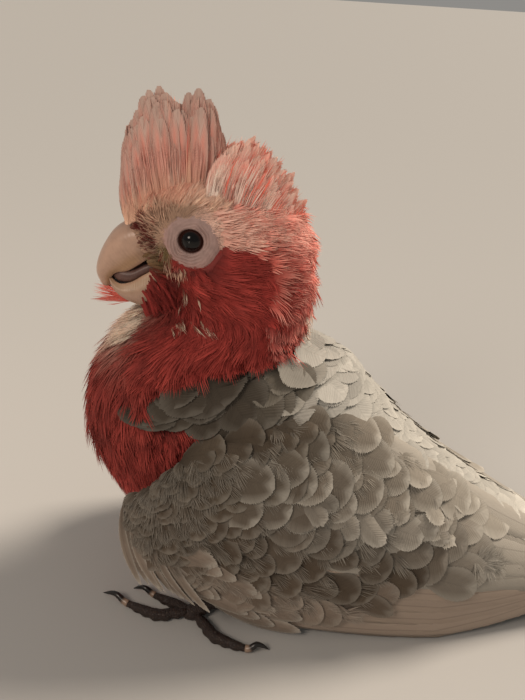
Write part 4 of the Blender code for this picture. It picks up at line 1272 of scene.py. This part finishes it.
def body_roots(rng, count, gap, wanted):
    """Stations and angles of roots spread evenly over the body: random places by area, kept where wanted(s,
    a, at) is true and thinned to one in each cube of side gap."""
    cell = rng.choice(body_area.size, count, p=body_area.ravel() / body_area.sum())
    s = body_s.ravel()[cell] + rng.uniform(-0.5, 0.5, count) * (body_s[1, 0] - body_s[0, 0])
    a = body_a.ravel()[cell] + rng.uniform(-0.5, 0.5, count) * (body_a[0, 1] - body_a[0, 0])
    at = body(s, a)
    keep = wanted(s, a, at)
    s, a, at = s[keep], a[keep], at[keep]
    cube = np.floor((at + rng.uniform(0, gap, 3)) / gap).astype(int)
    first = np.unique(cube, axis=0, return_index=True)[1]
    return s[first], a[first], at[first]


def behind_wing(at, inset=2.5):
    """True where the folded wing hides the body, seen from the side, below the wing's upper edge."""
    shadow = wing_grid.reshape(-1, 3)
    near = nearest(at[:, [0, 2]], shadow[:, [0, 2]])
    apart = np.hypot(*(at - shadow[near])[:, [0, 2]].T)
    edge = np.interp(at[:, 0], wing_grid[:, 0, 0], -wing_grid[:, 0, 1])
    off = np.abs(at[:, 1])
    return (apart < inset) & (np.abs(shadow[near][:, 1]) > off - 1.0) & (off > edge + 1)


def body_root(s, a):
    """Where a feather's root lies on the unwrapped body."""
    return np.stack([0.02 + 0.96 * (a / (2 * math.pi) % 1), 0.02 + 0.96 * s / 19], -1)


def down_body(place, ds, da, s, a):
    """Heading straight from head to tail."""
    return ds


BODY_RANGE = dict(low=(0.2, -10.0), high=(18.85, 20.0))  # station and angle, which may run on round the body
GREY_TRIES, RED_TRIES = 40000, 160000  # random places that are thinned out to the roots of one batch


def sprayed(rng, s, a, lead, spread, shape, length, half, rise, loft, colour, **looks):
    """Feathers or tufts rooted on the body at s, a: headings stray from lead by spread, and the tips stand
    up by rise and a random part of loft."""
    count = len(s)
    stray = spread * rng.normal(size=count)

    def way(place, ds, da, s, a):
        return unit(lead(place, ds, da, s, a)) + da * stray[:, None]

    reach = np.broadcast_to(length, count) * varied(rng, count, 0.14)
    path, out = laid(body, s, a, way, reach, 5, **BODY_RANGE)
    height = np.reshape(rise, (-1, 2)) + np.abs(rng.normal(size=(count, 1))) * (0.0, loft)
    width = np.broadcast_to(half, count) * varied(rng, count, 0.12)
    looks = dict(dict(camber=0.1, fray=0.35), **looks)
    return grown(
        shape, path, out, reach, width, height, looks.pop("camber"), looks.pop("fray"), rng, colour,
        body_root(s, a), **looks)


def grey_batch(rng, gap, length, half, rise, wanted, rim_share):
    """Grey contour feathers, rooted where wanted is true. They are shorter at the side of the breast, and
    on the ridge of the back they stand a little higher and lie flat, so that the two sides meet over it."""
    s, a, at = body_roots(rng, GREY_TRIES, gap, lambda s, a, at: wanted(s, a, at) & (grey_share(s, a) > 0.5))
    bare = ~behind_wing(at)
    s, a = s[bare], a[bare]
    length = np.where(s < 9.4, np.interp(np.cos(a), (-0.3, 0.2), (0.5 * length, length)), length)
    top = smooth(np.cos(a), 0.7, 0.95)
    rise = np.array([rise]) + 1.1 * top[:, None]
    curl = 0.4 * (1 - 0.9 * top) * rng.normal(size=len(s))
    roll = 0.07 * rng.normal(size=len(s))
    return sprayed(
        rng, s, a, down_body, 0.17, ROUND_VANE, length, half, rise, 0.35, grey_colour(s, a), dark=0.62,
        fray=0.14, rim=PEARL, rim_share=rim_share, rim_power=6.0, curl=curl, roll=roll)


def on_rump(s, a, at):
    """True behind the middle of the back."""
    return s > 14.4


def on_back(s, a, at):
    """True from behind the cape to the rump, further forward on top than at the sides."""
    return (s > np.where(np.cos(a) > 0.16, 9.2, 10.4)) & (s < 14.6)


def on_cape(s, a, at):
    """True before a line that runs from the side of the breast up to the back."""
    return s < np.interp(np.cos(a), (-0.45, -0.2, 0.1, 0.25), (8.8, 8.5, 8.2, 9.3))


dice = np.random.default_rng(31)
cape = [
    grey_batch(dice, 8.0, 27.0, 8.5, (-1.2, 0.8), on_rump, 0.5),
    grey_batch(dice, 7.5, 25.0, 8.4, (-2.0, 0.3), on_back, 0.4),
    grey_batch(dice, 6.5, 17.0, 9.8, (-2.4, 0.9), on_cape, 0.12),
]
coat("mantle_feathers", cape, body_vane, "grey_feathers")

# ---------------------------------------------------------------- breast, neck and belly
# Soft red feathers whose barbs hang loose, so that the neck and breast look combed downwards in fine
# strands that gather in points along the edge. The belly's are longer, paler and thinner.

COMBED_TUFT = strand_shape(11, 0.085, foot=0.3, taper=0.35, segments=3)

# Feathers whose barbs don't hook together: dull and soft, in strands with no shaft to be seen.
soft_barbs = feather_paint("loose_barbs_of_soft_feathers", 0.82, 1.6, 0.05, 0.0)


def red_batch(rng, gap, length, half, rise, wanted, tip_tone, tip_share, shape=COMBED_TUFT, lead=down_body,
              spread=0.2, loft=0.5, coral=0.0, **looks):
    """Red tufts, rooted where wanted is true. Their tips take on tip_tone, and both that and the coral in
    them fade from nape to shoulder. Near the cape's line they are short and low, so that its edge lies over
    them."""
    s, a, at = body_roots(rng, RED_TRIES, gap, lambda s, a, at: wanted(s, a, at) & (grey_share(s, a) < 0.5))
    bare = ~(behind_wing(at, 4.0) & (s > 9))
    s, a, at = s[bare], a[bare], at[bare]
    high = smooth(at[:, 2] + 9 * rng.normal(size=len(s)), 128, 160) if coral else np.ones(len(s))
    sleek = 1.5 * (smooth(at[:, 0], -40, -50) * smooth(at[:, 2], 122, 112) + smooth(at[:, 0], 4, 12))
    before = cape_edge(a) - s
    rise = np.array([rise]) - sleek[:, None] - 1.2 * (before < 0)[:, None]
    short = np.where(before < 0, 0.35, np.interp(before, (0.0, 1.9), (0.22, 1.0)))
    looks = dict(dict(dark=0.42, vary=0.16, rim_power=2.5, fray=0.4), **looks)
    length = short * (length(s, a) if callable(length) else length)
    return sprayed(
        rng, s, a, lead, spread, shape, length, half, rise, loft,
        mixed(red_colour(s, a), CORAL, coral * high), rim=tip_tone,
        rim_share=tip_share * (0.35 + 0.65 * high[:, None]), **looks)


dice = np.random.default_rng(41)
neck = [
    red_batch(dice, 3.0, 15.0, 3.3, (-2.8, 0.1), lambda s, a, at: (s > 5.2) & (s < 11.5), CORAL, 0.2),
    red_batch(dice, 5.0, 21.0, 3.6, (-2.4, 1.0), lambda s, a, at: (s > 5.6) & (s < 10.2), CORAL, 0.35,
              loft=1.0, spread=0.28),
]
coat("neck_and_breast_feathers", neck, soft_barbs, "red_feathers")

TROUSER_TUFTS = 260


def root_by(points):
    """The place on the unwrapped body that is nearest to each point."""
    return body_root(body_s.ravel(), body_a.ravel())[nearest(points, body_grid.reshape(-1, 3))]


def trousers(rng):
    """Loose grey tufts all round the left thigh, down to the bare foot."""
    leg = limb([point for point, _ in THIGH], [half for _, half in THIGH], 40, 40)
    i, j = rng.integers(1, 34, TROUSER_TUFTS), rng.integers(0, 40, TROUSER_TUFTS)
    out = unit(leg[i, j] - leg[i].mean(1))
    down = unit(unit(leg[i + 3, j] - leg[i, j]) + 0.12 * rng.normal(size=(TROUSER_TUFTS, 3)))
    reach = 9.0 * varied(rng, TROUSER_TUFTS, 0.15)
    at = leg[i, j][:, None] + (down * reach[:, None])[:, None] * np.linspace(0, 1, 5)[None, :, None]
    root = root_by(leg[i, j])
    return grown(
        COMBED_TUFT, at, np.broadcast_to(out[:, None], at.shape), reach, 3.2, (-1.2, 0.2), 0.15, 0.4, rng,
        mixed(ASH * 0.75, ROSE, 0.15), root, dark=0.6, rim=PEARL, rim_share=0.3, vary=0.12)


belly = [red_batch(dice, 3.8, 19.0, 4.2, (-2.4, 0.2), lambda s, a, at: s >= 11.3, PEARL, 0.25)]
belly += [trousers(dice), mirrored(trousers(dice))]
coat("belly_feathers", belly, soft_barbs, "red_feathers")

# ---------------------------------------------------------------- head
# Short dense feathers that lie back from the bill and part round the eye. They lengthen and stand up at the
# back of the head, where their rounded tips make a ruffled edge.

BILL_ROOT = np.array([-56.0, 0.0, 148.0])
EYE_CLEAR = 9.6  # mm from the eye's middle to the nearest root


def eye_offset(at):
    """Distance from the nearer eye's axis, and the direction away from it."""
    eye = EYE_AT * np.stack([at[:, 0] * 0 + 1, np.where(at[:, 1] > 0, -1, 1), at[:, 0] * 0 + 1], -1)
    away = at - eye
    flat = away * (1, 0.15, 1)
    return np.linalg.norm(flat / (RING_STRETCH[0], 1, RING_STRETCH[1]), axis=1), unit(flat)


def back_from_bill(place, ds, da, s, a):
    """Away from the bill's root on the head, down the neck below it, and round the eye."""
    far, away = eye_offset(place)
    head = unit(place - BILL_ROOT)
    way = mixed(head, ds, smooth(s, 4.6, 6.6))
    return way + away * (1.6 * smooth(far, 16, 10.5))[:, None]


def on_face(s, a, at):
    """True on the head, clear of the eyes."""
    return (s < 5.8) & (eye_offset(at)[0] > EYE_CLEAR)


def on_cheek(s, a, at):
    """True on the head's sides and back, from the eye backwards and below the crown."""
    return on_face(s, a, at) & (s > 3.2) & (at[:, 0] > -30)


def head_length(s, a):
    """Lengths in mm, which grow with the distance from the bill's root."""
    at = body(s, a)
    return np.interp(np.linalg.norm(at - BILL_ROOT, axis=1), (8, 24, 50, 80), (4.0, 7.0, 12.5, 15.0))


def at_back(s, a, at):
    """True at the back of the head, behind an edge that two sine waves make ragged."""
    edge = np.interp(at[:, 2], (115, 135, 150, 158, 168), (11.0, 9.5, 7.0, 1.0, -8.0))
    ragged = 4 * np.sin(at[:, 2] * 1.3 + at[:, 1]) + 4 * np.sin(at[:, 2] * 7 + at[:, 0] * 5)
    return (s > 1.0) & (s < 7.2) & (at[:, 0] > edge + ragged)


dice = np.random.default_rng(51)
FINE_TUFT = strand_shape(9, 0.10, foot=0.3, taper=0.3)
face = [
    red_batch(dice, 2.1, head_length, 2.3, (-2.0, 0.0), on_face, CORAL, 0.15, shape=FINE_TUFT,
              lead=back_from_bill, fray=0.25, vary=0.12),
    red_batch(dice, 5.0, 15.0, 2.8, (-1.5, 0.9), on_cheek, CORAL, 0.3, lead=back_from_bill, spread=0.25),
]
coat("head_feathers", face, soft_barbs, "red_feathers")
ruff = [
    red_batch(dice, 3.6, 11.0, 3.8, (-1.8, 1.2), at_back, BLUSH, 0.35, lead=back_from_bill, loft=0.8,
              spread=0.2, coral=0.6, dark=0.65),
    red_batch(dice, 4.8, 9.5, 3.8, (-1.6, 2.4), at_back, BLUSH, 0.75, lead=back_from_bill, loft=1.2,
              spread=0.3, coral=0.7, rim_power=3.0, dark=0.6),
]
coat("nape_feathers", ruff, soft_barbs, "red_feathers")

# ---------------------------------------------------------------- crest
# A fan of broad soft feathers raised from the forehead, dusty rose with grey tips, and a lower fan of paler,
# looser ones behind it. Each overlaps the next, loose barbs cover them, and short down hides their roots.

FRONT_FAN = (  # x and z along the feathers' feet and along their tips, and how far they bow
    np.array([(-51.6, 161.0), (-43.0, 164.5), (-31.0, 167.0), (-20.0, 167.0)]),
    np.array([(-51.5, 183.0), (-51.5, 191.5), (-48.5, 197.0), (-41.5, 205.5), (-33.0, 203.5),
              (-24.5, 205.5), (-19.0, 191.0)]),
    0.0,
)
BACK_FAN = (
    np.array([(-22.0, 168.0), (-12.0, 168.0), (-4.0, 162.0), (3.0, 152.0)]),
    np.array([(-17.5, 189.0), (-7.7, 192.0), (1.8, 185.0), (8.0, 177.0), (13.5, 166.0)]),
    0.05,
)
# The crest's tones, the back fan's palest most, are its own dusty rose and pale pink set lighter: partly
# painted light, for the light that shines through the thin feathers.
CREST_LOW, CREST_ROSE, CREST_GREY = linear("#efbfa3"), linear("#eaa191"), linear("#bfb0a5")
CREST_HOT, CREST_PALE = linear("#fb7762"), linear("#ffe2d4")
CREST_LEAF = vane_shape(26, (0.5, 0.92), 0.66, 0.36, 0.42)
CREST_BARBS = strand_shape(19, 0.028, foot=0.25, taper=0.25, segments=3)
BACK_LEAF = vane_shape(22, (0.5, 0.9), 0.56, 0.8, 0.5)
CREST_STREAK = strand_shape(5, 0.11, foot=0.4, taper=0.3, segments=4)
STREAKS = 18
CREST_LAYERS = [  # share of full height, feathers, mm off the middle plane at foot and tip, half width, bulge
    (0.97, 15, 0.3, 0.0, 3.0, 0.1), (0.95, 16, 1.3, 0.1, 3.0, 0.3), (1.0, 16, 2.4, 0.2, 3.1, 0.5),
    (0.98, 16, 3.6, 0.4, 3.2, 0.7), (0.95, 17, 4.6, 0.7, 3.2, 0.9), (0.91, 17, 5.6, 1.1, 3.2, 1.1),
    (0.86, 17, 6.5, 1.6, 3.2, 1.2), (0.78, 17, 7.3, 2.2, 3.2, 1.3),
]
BACK_LAYERS = [
    (1.0, 11, 3.0, 0.8, 3.6, 0.5), (0.97, 12, 5.5, 2.2, 3.6, 0.8), (0.9, 13, 8.0, 4.0, 3.4, 1.2),
    (0.8, 13, 10.5, 6.4, 3.2, 1.5),
]


def fan(rng, lines, count, reach, low_off, high_off, bulge, turn=0.1):
    """Midlines of one layer of a fan: from foot to tip, bowed outwards, at distances from the middle plane
    given for the foot and the tip."""
    foot, tip, lean = lines
    share = np.clip((np.arange(count) + 0.5) / count + rng.normal(size=count) * 0.25 / count, 0, 1)
    low = spline(foot, share * (len(foot) - 1))
    high = spline(tip, share * (len(tip) - 1))
    high = low + (high - low) * (reach * varied(rng, count, 0.045))[:, None]
    t = np.linspace(0, 1, 8)[None, :, None]
    line = low[:, None] * (1 - t) + high[:, None] * t
    square = np.stack([-(high - low)[:, 1], (high - low)[:, 0]], -1)
    line = line + square[:, None] * (lean * np.sin(math.pi * t))
    off = low_off + (high_off - low_off) * t[..., 0] + bulge * np.sin(math.pi * t[..., 0])
    off = off * (1 - 0.6 * smooth(share, 0.75, 1.0))[:, None]
    at = np.stack([line[..., 0], np.broadcast_to(-off, line.shape[:2]), line[..., 1]], -1)
    tilt = turn * rng.normal(size=(count, 1))
    out = unit(np.stack(np.broadcast_arrays(tilt, -1.0 + 0 * t[..., 0], 0.2 + 0 * t[..., 0]), -1))
    root = np.stack([0.1 + 0.35 * share, 0.1 + 0.3 * reach + 0 * share], -1)
    return at, out, share, np.linalg.norm(high - low, axis=1), root


def crest_side(rng, side):
    """The left half of both fans, or its mirror: vanes, with loose barbs laid over them."""
    front, back = [], []
    for reach, count, low_off, high_off, half, bulge in CREST_LAYERS:
        at, out, share, length, root = fan(rng, FRONT_FAN, count, reach, low_off, high_off, bulge)
        tone = mixed(CREST_ROSE, CORAL, 0.25 * rng.random(count) ** 2)
        front.append(grown(
            CREST_LEAF, at, out, length, half, (0, 0.1), 0.03, 0.12, rng, tone, root, dark=1.0,
            rim=CREST_GREY, rim_share=0.8, vary=0.03, curl=0.15 * rng.normal(size=count),
            root_tone=CREST_LOW, rim_power=4.0))
        at, out, share, length, root = fan(
            rng, FRONT_FAN, count + 10, reach * 0.97, low_off + 0.3, high_off + 0.3, bulge)
        tone = mixed(CREST_ROSE, mixed(CORAL, BLUSH, rng.random(count + 10)), 0.4 * rng.random(count + 10))
        front.append(grown(
            CREST_BARBS, at, out, length, 3.0, (0, 0.15), 0.1, 0.3, rng, tone, root, dark=0.95,
            rim=CREST_GREY, rim_share=0.6, vary=0.05, root_tone=CREST_LOW, rim_power=2.5))
        reaches = reach * rng.uniform(0.55, 1.03, STREAKS)
        at, out, share, length, root = fan(
            rng, FRONT_FAN, STREAKS, reaches, low_off + 0.4, high_off + 0.4, bulge, 0.3)
        picked = np.array([CREAM, CORAL, CREST_LOW, CREST_GREY])[rng.integers(0, 4, STREAKS)]
        tone = mixed(picked, CREST_ROSE, 0.35)
        front.append(grown(
            CREST_STREAK, at, out, length, 1.1, (0, 0.3), 0.1, 0.3, rng, tone, root, dark=0.95, vary=0.08,
            root_tone=CREST_LOW))
    for reach, count, low_off, high_off, half, bulge in BACK_LAYERS:
        at, out, share, length, root = fan(rng, BACK_FAN, count, reach, low_off, high_off, bulge, 0.3)
        clump = 0.5 + 0.5 * np.sin(14 * share + 1.5 * high_off)
        tone = mixed(CREST_PALE, CREST_HOT, 0.2 + 0.8 * clump * rng.random(count) ** 0.5)
        back.append(grown(
            BACK_LEAF, at, out, length, half, (0, 0.5), 0.08, 0.3, rng, tone, root, dark=0.95, rim=PALE,
            rim_share=0.7, rim_power=3.0, vary=0.05, curl=0.6 * rng.normal(size=count)))
        at, out, share, length, root = fan(
            rng, BACK_FAN, count + 3, reach, low_off + 0.8, high_off + 1.0, bulge, 0.5)
        clump = 0.5 + 0.5 * np.sin(14 * share + 1.5 * high_off)
        tone = mixed(CREST_PALE, CREST_HOT, clump * rng.random(count + 3) ** 0.7)
        back.append(grown(
            CREST_BARBS, at, out, length, 4.2, (0, 0.9), 0.1, 0.4, rng, tone, root, dark=0.95,
            rim=CREST_PALE, rim_share=0.6, vary=0.06, rim_power=1.5))
        reaches = reach * rng.uniform(0.65, 1.12, 2 * STREAKS)
        at, out, share, length, root = fan(
            rng, BACK_FAN, 2 * STREAKS, reaches, low_off + 1.0, high_off + 1.4, bulge, 0.6)
        tone = mixed(CREST_PALE, CREST_HOT, 0.9 * (rng.random(2 * STREAKS) > 0.55))
        back.append(grown(
            CREST_STREAK, at, out, length, 1.2, (0, 1.2), 0.1, 0.4, rng, tone, root, dark=0.95, vary=0.08))
    return sided(front, side), sided(back, side)


def crest_middle(rng, lines, shape, count, half, tone, rim):
    """Vanes on the middle plane that face forwards, where they close the slit between the halves of a fan."""
    at, out, share, length, root = fan(rng, lines, count, 0.98, 0.0, 0.0, 0.0)
    at = at + rng.normal(size=(count, 1, 3)) * (0.0, 0.6, 0.0)
    ahead = np.cross(at[:, -1:] - at[:, :1], (0, 1.0, 0))
    out = unit(ahead + 4.0 * rng.normal(size=(count, 1, 3)) * (0, 1, 0))
    return grown(
        shape, at, np.broadcast_to(out, at.shape), length, half, (0, 0.3), 0.1, 0.2, rng, tone, root,
        dark=1.0, rim=rim, rim_share=0.6, vary=0.05, root_tone=CREST_LOW)


# Long soft crest feather: a dull vane, loose at its edge, its shaft a shade paler than the barbs.
crest_vane = feather_paint("soft_crest_vane", 0.82, 0.9, 0.05, 0.04)
dice = np.random.default_rng(61)
left, right = crest_side(dice, 1), crest_side(dice, -1)
left[0].append(crest_middle(dice, FRONT_FAN, CREST_LEAF, 34, 2.2, CREST_ROSE, CREST_GREY))
left[1].append(crest_middle(dice, BACK_FAN, BACK_LEAF, 30, 3.6, CREST_HOT, PALE))
coat("crest_front_feathers", left[0] + right[0], crest_vane, "rose_feathers", "crest_front")
coat("crest_back_feathers", left[1] + right[1], crest_vane, "rose_feathers", "crest_back")

# ---------------------------------------------------------------- bristles and stray tufts of the face
# Dark red bristles curve over the bill's root, and short stiff hair-feathers stand above the eye and round
# its ring. Pale tufts lie behind the eye and at the throat, where growing feathers haven't closed up yet.

FLUSH = linear("#edb3a2")
MAROON, STRAW, OLIVE = linear("#6a2a26"), linear("#b8957f"), linear("#6e5a3a")
BRISTLE = strand_shape(3, 0.14, foot=0.5, taper=0.2, segments=3)
SPOTS = [  # tuft, place, spread, count, heading, length, half width, height at root and tip, colour, at tip
    (BRISTLE, (-44, -12.5, 159.5), (4, 1, 4.5), 30, (-1, 0, 0.6), 6.5, 0.7, (-1, 2.2), MAROON, DEEP_RED),
    (BRISTLE, (-42.5, -13, 154.5), (2, 1, 3), 14, (-1, 0, -0.6), 5, 0.7, (-1, 1.8), MAROON, DEEP_RED),
    (BRISTLE, (-36.5, -15.5, 166), (6.5, 1, 3), 70, (-0.45, 0, 1), 6, 0.9, (-1, 1.3), STRAW, BEIGE),
    (BRISTLE, (-41, -14, 161), (4, 1, 4), 60, (-0.8, 0, 0.5), 5, 0.9, (-1.2, 1.2), STRAW, BEIGE),
    (BRISTLE, (-40.3, -13.5, 151), (1.6, 1, 3.2), 26, (0.2, 0, -1), 4, 0.9, (-1, 0.6), OLIVE, OLIVE),
    (FINE_TUFT, (-36.5, -15, 148), (4.5, 1, 2), 30, (0.2, 0, -1), 6, 1.8, (-1.2, 0.4), DEEP_RED, MAROON),
    (BRISTLE, (-34.5, -16.5, 148), (6, 1, 1.5), 26, (0.8, 0, -0.9), 5, 0.34, (-1, 1), STRAW, BEIGE),
    (FINE_TUFT, (-50, -4, 163), (3, 5, 3), 100, (-0.12, 0, 1), 15, 2.2, (-1.5, 0.8), CREST_LOW, CREST_ROSE),
    (FINE_TUFT, (-47.5, -7, 165), (4, 6, 3), 80, (-0.1, 0, 1), 11, 1.7, (-1.5, 0.8), CREST_LOW, CREST_ROSE),
    (FINE_TUFT, (-38, -11, 170.5), (9, 4, 2.5), 130, (0, 0, 1), 13, 1.8, (-1.5, 0.9), CREST_LOW, CREST_ROSE),
    (FINE_TUFT, (-24, -15, 170), (7, 3, 3), 70, (0.5, 0, 0.9), 10, 2, (-1.5, 1.3), CREST_LOW, PALE),
    (COMBED_TUFT, (-14, -18.5, 168), (9, 2, 4), 56, (1, 0, 0.25), 11, 2.8, (-2.4, 2), FLUSH, PALE),
    (COMBED_TUFT, (-17, -19.5, 163), (6, 2, 2.6), 40, (1, 0, -0.12), 10, 2.6, (-2.4, 1.8), FLUSH, PALE),
    (COMBED_TUFT, (-8, -18, 164.5), (6, 2, 4), 30, (1, 0, 0), 9, 2.8, (-2, 2), FLUSH, PALE),
    (COMBED_TUFT, (-50, -6, 126.5), (4.5, 8, 4.5), 50, (-0.8, 0, -1), 12, 2.4, (-1.4, 1.6), CREAM, BLUSH),
    (BRISTLE, (-31.5, -23, 136.5), (4.5, 1, 5.5), 16, (0.7, 0, -1), 7, 0.34, (-1, 1.2), STRAW, CREAM),
    (BRISTLE, (-21.5, -25, 133), (3, 1, 2.5), 8, (0.8, 0, -1), 6, 0.36, (-1, 1.2), STRAW, CREAM),
    (BRISTLE, (14.5, -6, 132), (2, 5, 9), 14, (0.6, 0, -0.8), 10, 0.9, (-1, 2.5), PALE, CREAM),
]
EDGE_LINE = np.array([  # where the feathers begin along the bill's left side, from the brow down to the chin
    (-48.7, -6.5, 160.5), (-47.4, -8.6, 155.5), (-44.4, -9.8, 152.0), (-42.8, -9.8, 147.0),
    (-44.2, -9.2, 141.0), (-45.4, -8.7, 135.9), (-46.4, -6.5, 130.5), (-47.0, -2.5, 127.8),
])
EDGE_TUFTS, RING_HAIRS = 360, 300
STRAY_AT, STRAY_LENGTH = np.array([-51.0, -3.0, 130.2]), 16.0  # the loose red tuft under the bill
STRAY_WAYS = np.array([(-1.0, 0.0, 0.32), (-1.0, 0.1, 0.15), (-0.9, -0.1, 0.0)])


def ring_hairs(rng):
    """Short hair-feathers rooted round the left eye ring, over its rim: straw in front and above, then blush,
    red below and olive at the gape."""
    turn = circle(RING_HAIRS) + 0.04 * rng.normal(size=RING_HAIRS)
    aim = turned(np.full(RING_HAIRS, 9.0), np.zeros(RING_HAIRS), turn, 1) - EYE_AT
    clear = smooth(aim[:, 0], -2, 4) * smooth(aim[:, 2], 4, -2)
    radius = 8.7 + 1.2 * clear + 0.5 * rng.normal(size=RING_HAIRS)
    wide = np.hypot(np.cos(turn) * RING_STRETCH[0], np.sin(turn) * RING_STRETCH[1])
    reach = 3.0 + 0.8 * rng.random(RING_HAIRS)
    steps = np.linspace(0, 1, 4)
    far = radius[:, None] + reach[:, None] * steps
    sweep = turn[:, None] + (0.3 * np.sin(turn) + 0.15 * rng.normal(size=RING_HAIRS))[:, None] * steps
    height = np.interp(far, (8.0, 8.6, 9.6, 10.6, 14.0), (-0.05, -0.3, -0.9, -1.3, -2.4))
    at = turned(far * wide[:, None], height, sweep, 1)
    out = np.broadcast_to(unit(EYE_FACES), at.shape)
    across = unit(np.cross(EYE_FACES, (0, 0, 1.0)))
    back = (at[:, 0] - EYE_AT) @ (across * np.sign(across[0]))
    up = at[:, 0, 2] - EYE_AT[2]
    tone = mixed(np.broadcast_to(STRAW, (RING_HAIRS, 3)), BLUSH, smooth(back, -2, 4))
    below = smooth(up + 0.1 * back, 0.5, -2.0) * np.maximum(smooth(back, -5, -2), smooth(up, -5, -7))
    tone = mixed(tone, CRIMSON, below)
    tone = mixed(tone, OLIVE, smooth(back, -6, -8) * smooth(up, -1, -4))
    root = root_by(at[:, 0])
    return grown(
        BRISTLE, at, out, reach, 0.8, (0.0, 0.8), 0.1, 0.2, rng, tone, root, dark=0.9, rim=CREAM,
        rim_share=0.2, vary=0.12)


def edge_tufts(rng):
    """Short tufts along the bill's edge, over the seam between horn and skin: straw and maroon above, olive
    at the gape and red below."""
    share = rng.random(EDGE_TUFTS)
    start = spline(EDGE_LINE, share * (len(EDGE_LINE) - 1))
    start = start + rng.normal(size=(EDGE_TUFTS, 3)) * (0.7, 0.2, 0.7)
    below = smooth(share, 0.4, 0.6)
    start = start + (rng.random(EDGE_TUFTS) ** 1.5 * below)[:, None] * (8.0, -2.0, 0.0)
    way = mixed(np.array([[0.75, -0.5, 0.35]]), np.array([[0.7, -0.6, -0.55]]), below)
    way = unit(way + 0.18 * rng.normal(size=way.shape) * (1, 0.3, 1))
    reach = np.interp(share, (0, 0.3, 0.5, 1), (5.0, 6.0, 8.0, 9.0))
    reach = reach * varied(rng, EDGE_TUFTS, 0.15)
    at = start[:, None] + (way * reach[:, None])[:, None] * np.linspace(0, 1, 5)[None, :, None]
    out = unit(np.array([0.0, -1.0, 0.0]) + 0.6 * way * (1, 0, 1))
    out = np.broadcast_to(out[:, None], at.shape)
    tone = mixed(np.broadcast_to(STRAW, (EDGE_TUFTS, 3)), MAROON, 0.8 * (rng.random(EDGE_TUFTS) > 0.5))
    tone = mixed(tone, OLIVE, 0.8 * smooth(share, 0.28, 0.36))
    tone = mixed(tone, mixed(DEEP_RED, CRIMSON, rng.random(EDGE_TUFTS)), smooth(share, 0.42, 0.5))
    root = root_by(at[:, -1])
    return grown(FINE_TUFT, at, out, reach, 1.7, (0.0, 0.6), 0.2, 0.25, rng, tone, root, dark=0.8, vary=0.12)


def spot(rng, shape, place, spread, count, heading, length, half, rise, colour, tip_tone):
    """Tufts rooted round one place on the left of the body, all with one heading."""
    aim = np.array(place) + rng.uniform(-1, 1, (count, 3)) * spread
    cell = nearest(aim, body_grid.reshape(-1, 3))
    s = body_s.ravel()[cell] + rng.uniform(-0.06, 0.06, count)
    a = body_a.ravel()[cell] + rng.uniform(-0.03, 0.03, count)
    clear = eye_offset(body(s, a))[0] > EYE_CLEAR - 0.6
    s, a = s[clear], a[clear]
    ahead = np.array(heading, float) + rng.normal(size=(len(s), 3)) * (0.2, 0.0, 0.2)
    flush = 0.8 * rng.random(len(s)) ** 1.5 * smooth(body(s, a)[:, 0], -20, -6) * (shape is COMBED_TUFT)
    tone = mixed(np.broadcast_to(colour, (len(s), 3)), CORAL, flush)
    return sprayed(
        rng, s, a, lambda place, ds, da, s, a: ahead, 0.0, shape, length, half, rise, 0.6, tone,
        rim=tip_tone, rim_share=0.7, rim_power=2.5, dark=0.82, vary=0.14)


dice = np.random.default_rng(71)
tufts = [[spot(dice, *row) for row in SPOTS] + [ring_hairs(dice), edge_tufts(dice)] for _ in range(2)]
t = np.linspace(0, 1, 6)[None, :, None]
stray = STRAY_AT + t * STRAY_LENGTH * unit(STRAY_WAYS[:, None])
facing = np.broadcast_to(unit(np.array([0.0, -1.0, 0.5])), stray.shape)
tufts[0].append(grown(
    COMBED_TUFT, stray, facing, STRAY_LENGTH, 2.6, (0, 0.8), 0.1, 0.4, dice, CORAL, np.full((3, 2), 0.3),
    dark=0.9, rim=BLUSH, rim_share=0.4))
coat("face_tufts_and_bristles", tufts[0] + sided(tufts[1], -1), soft_barbs, "red_feathers")
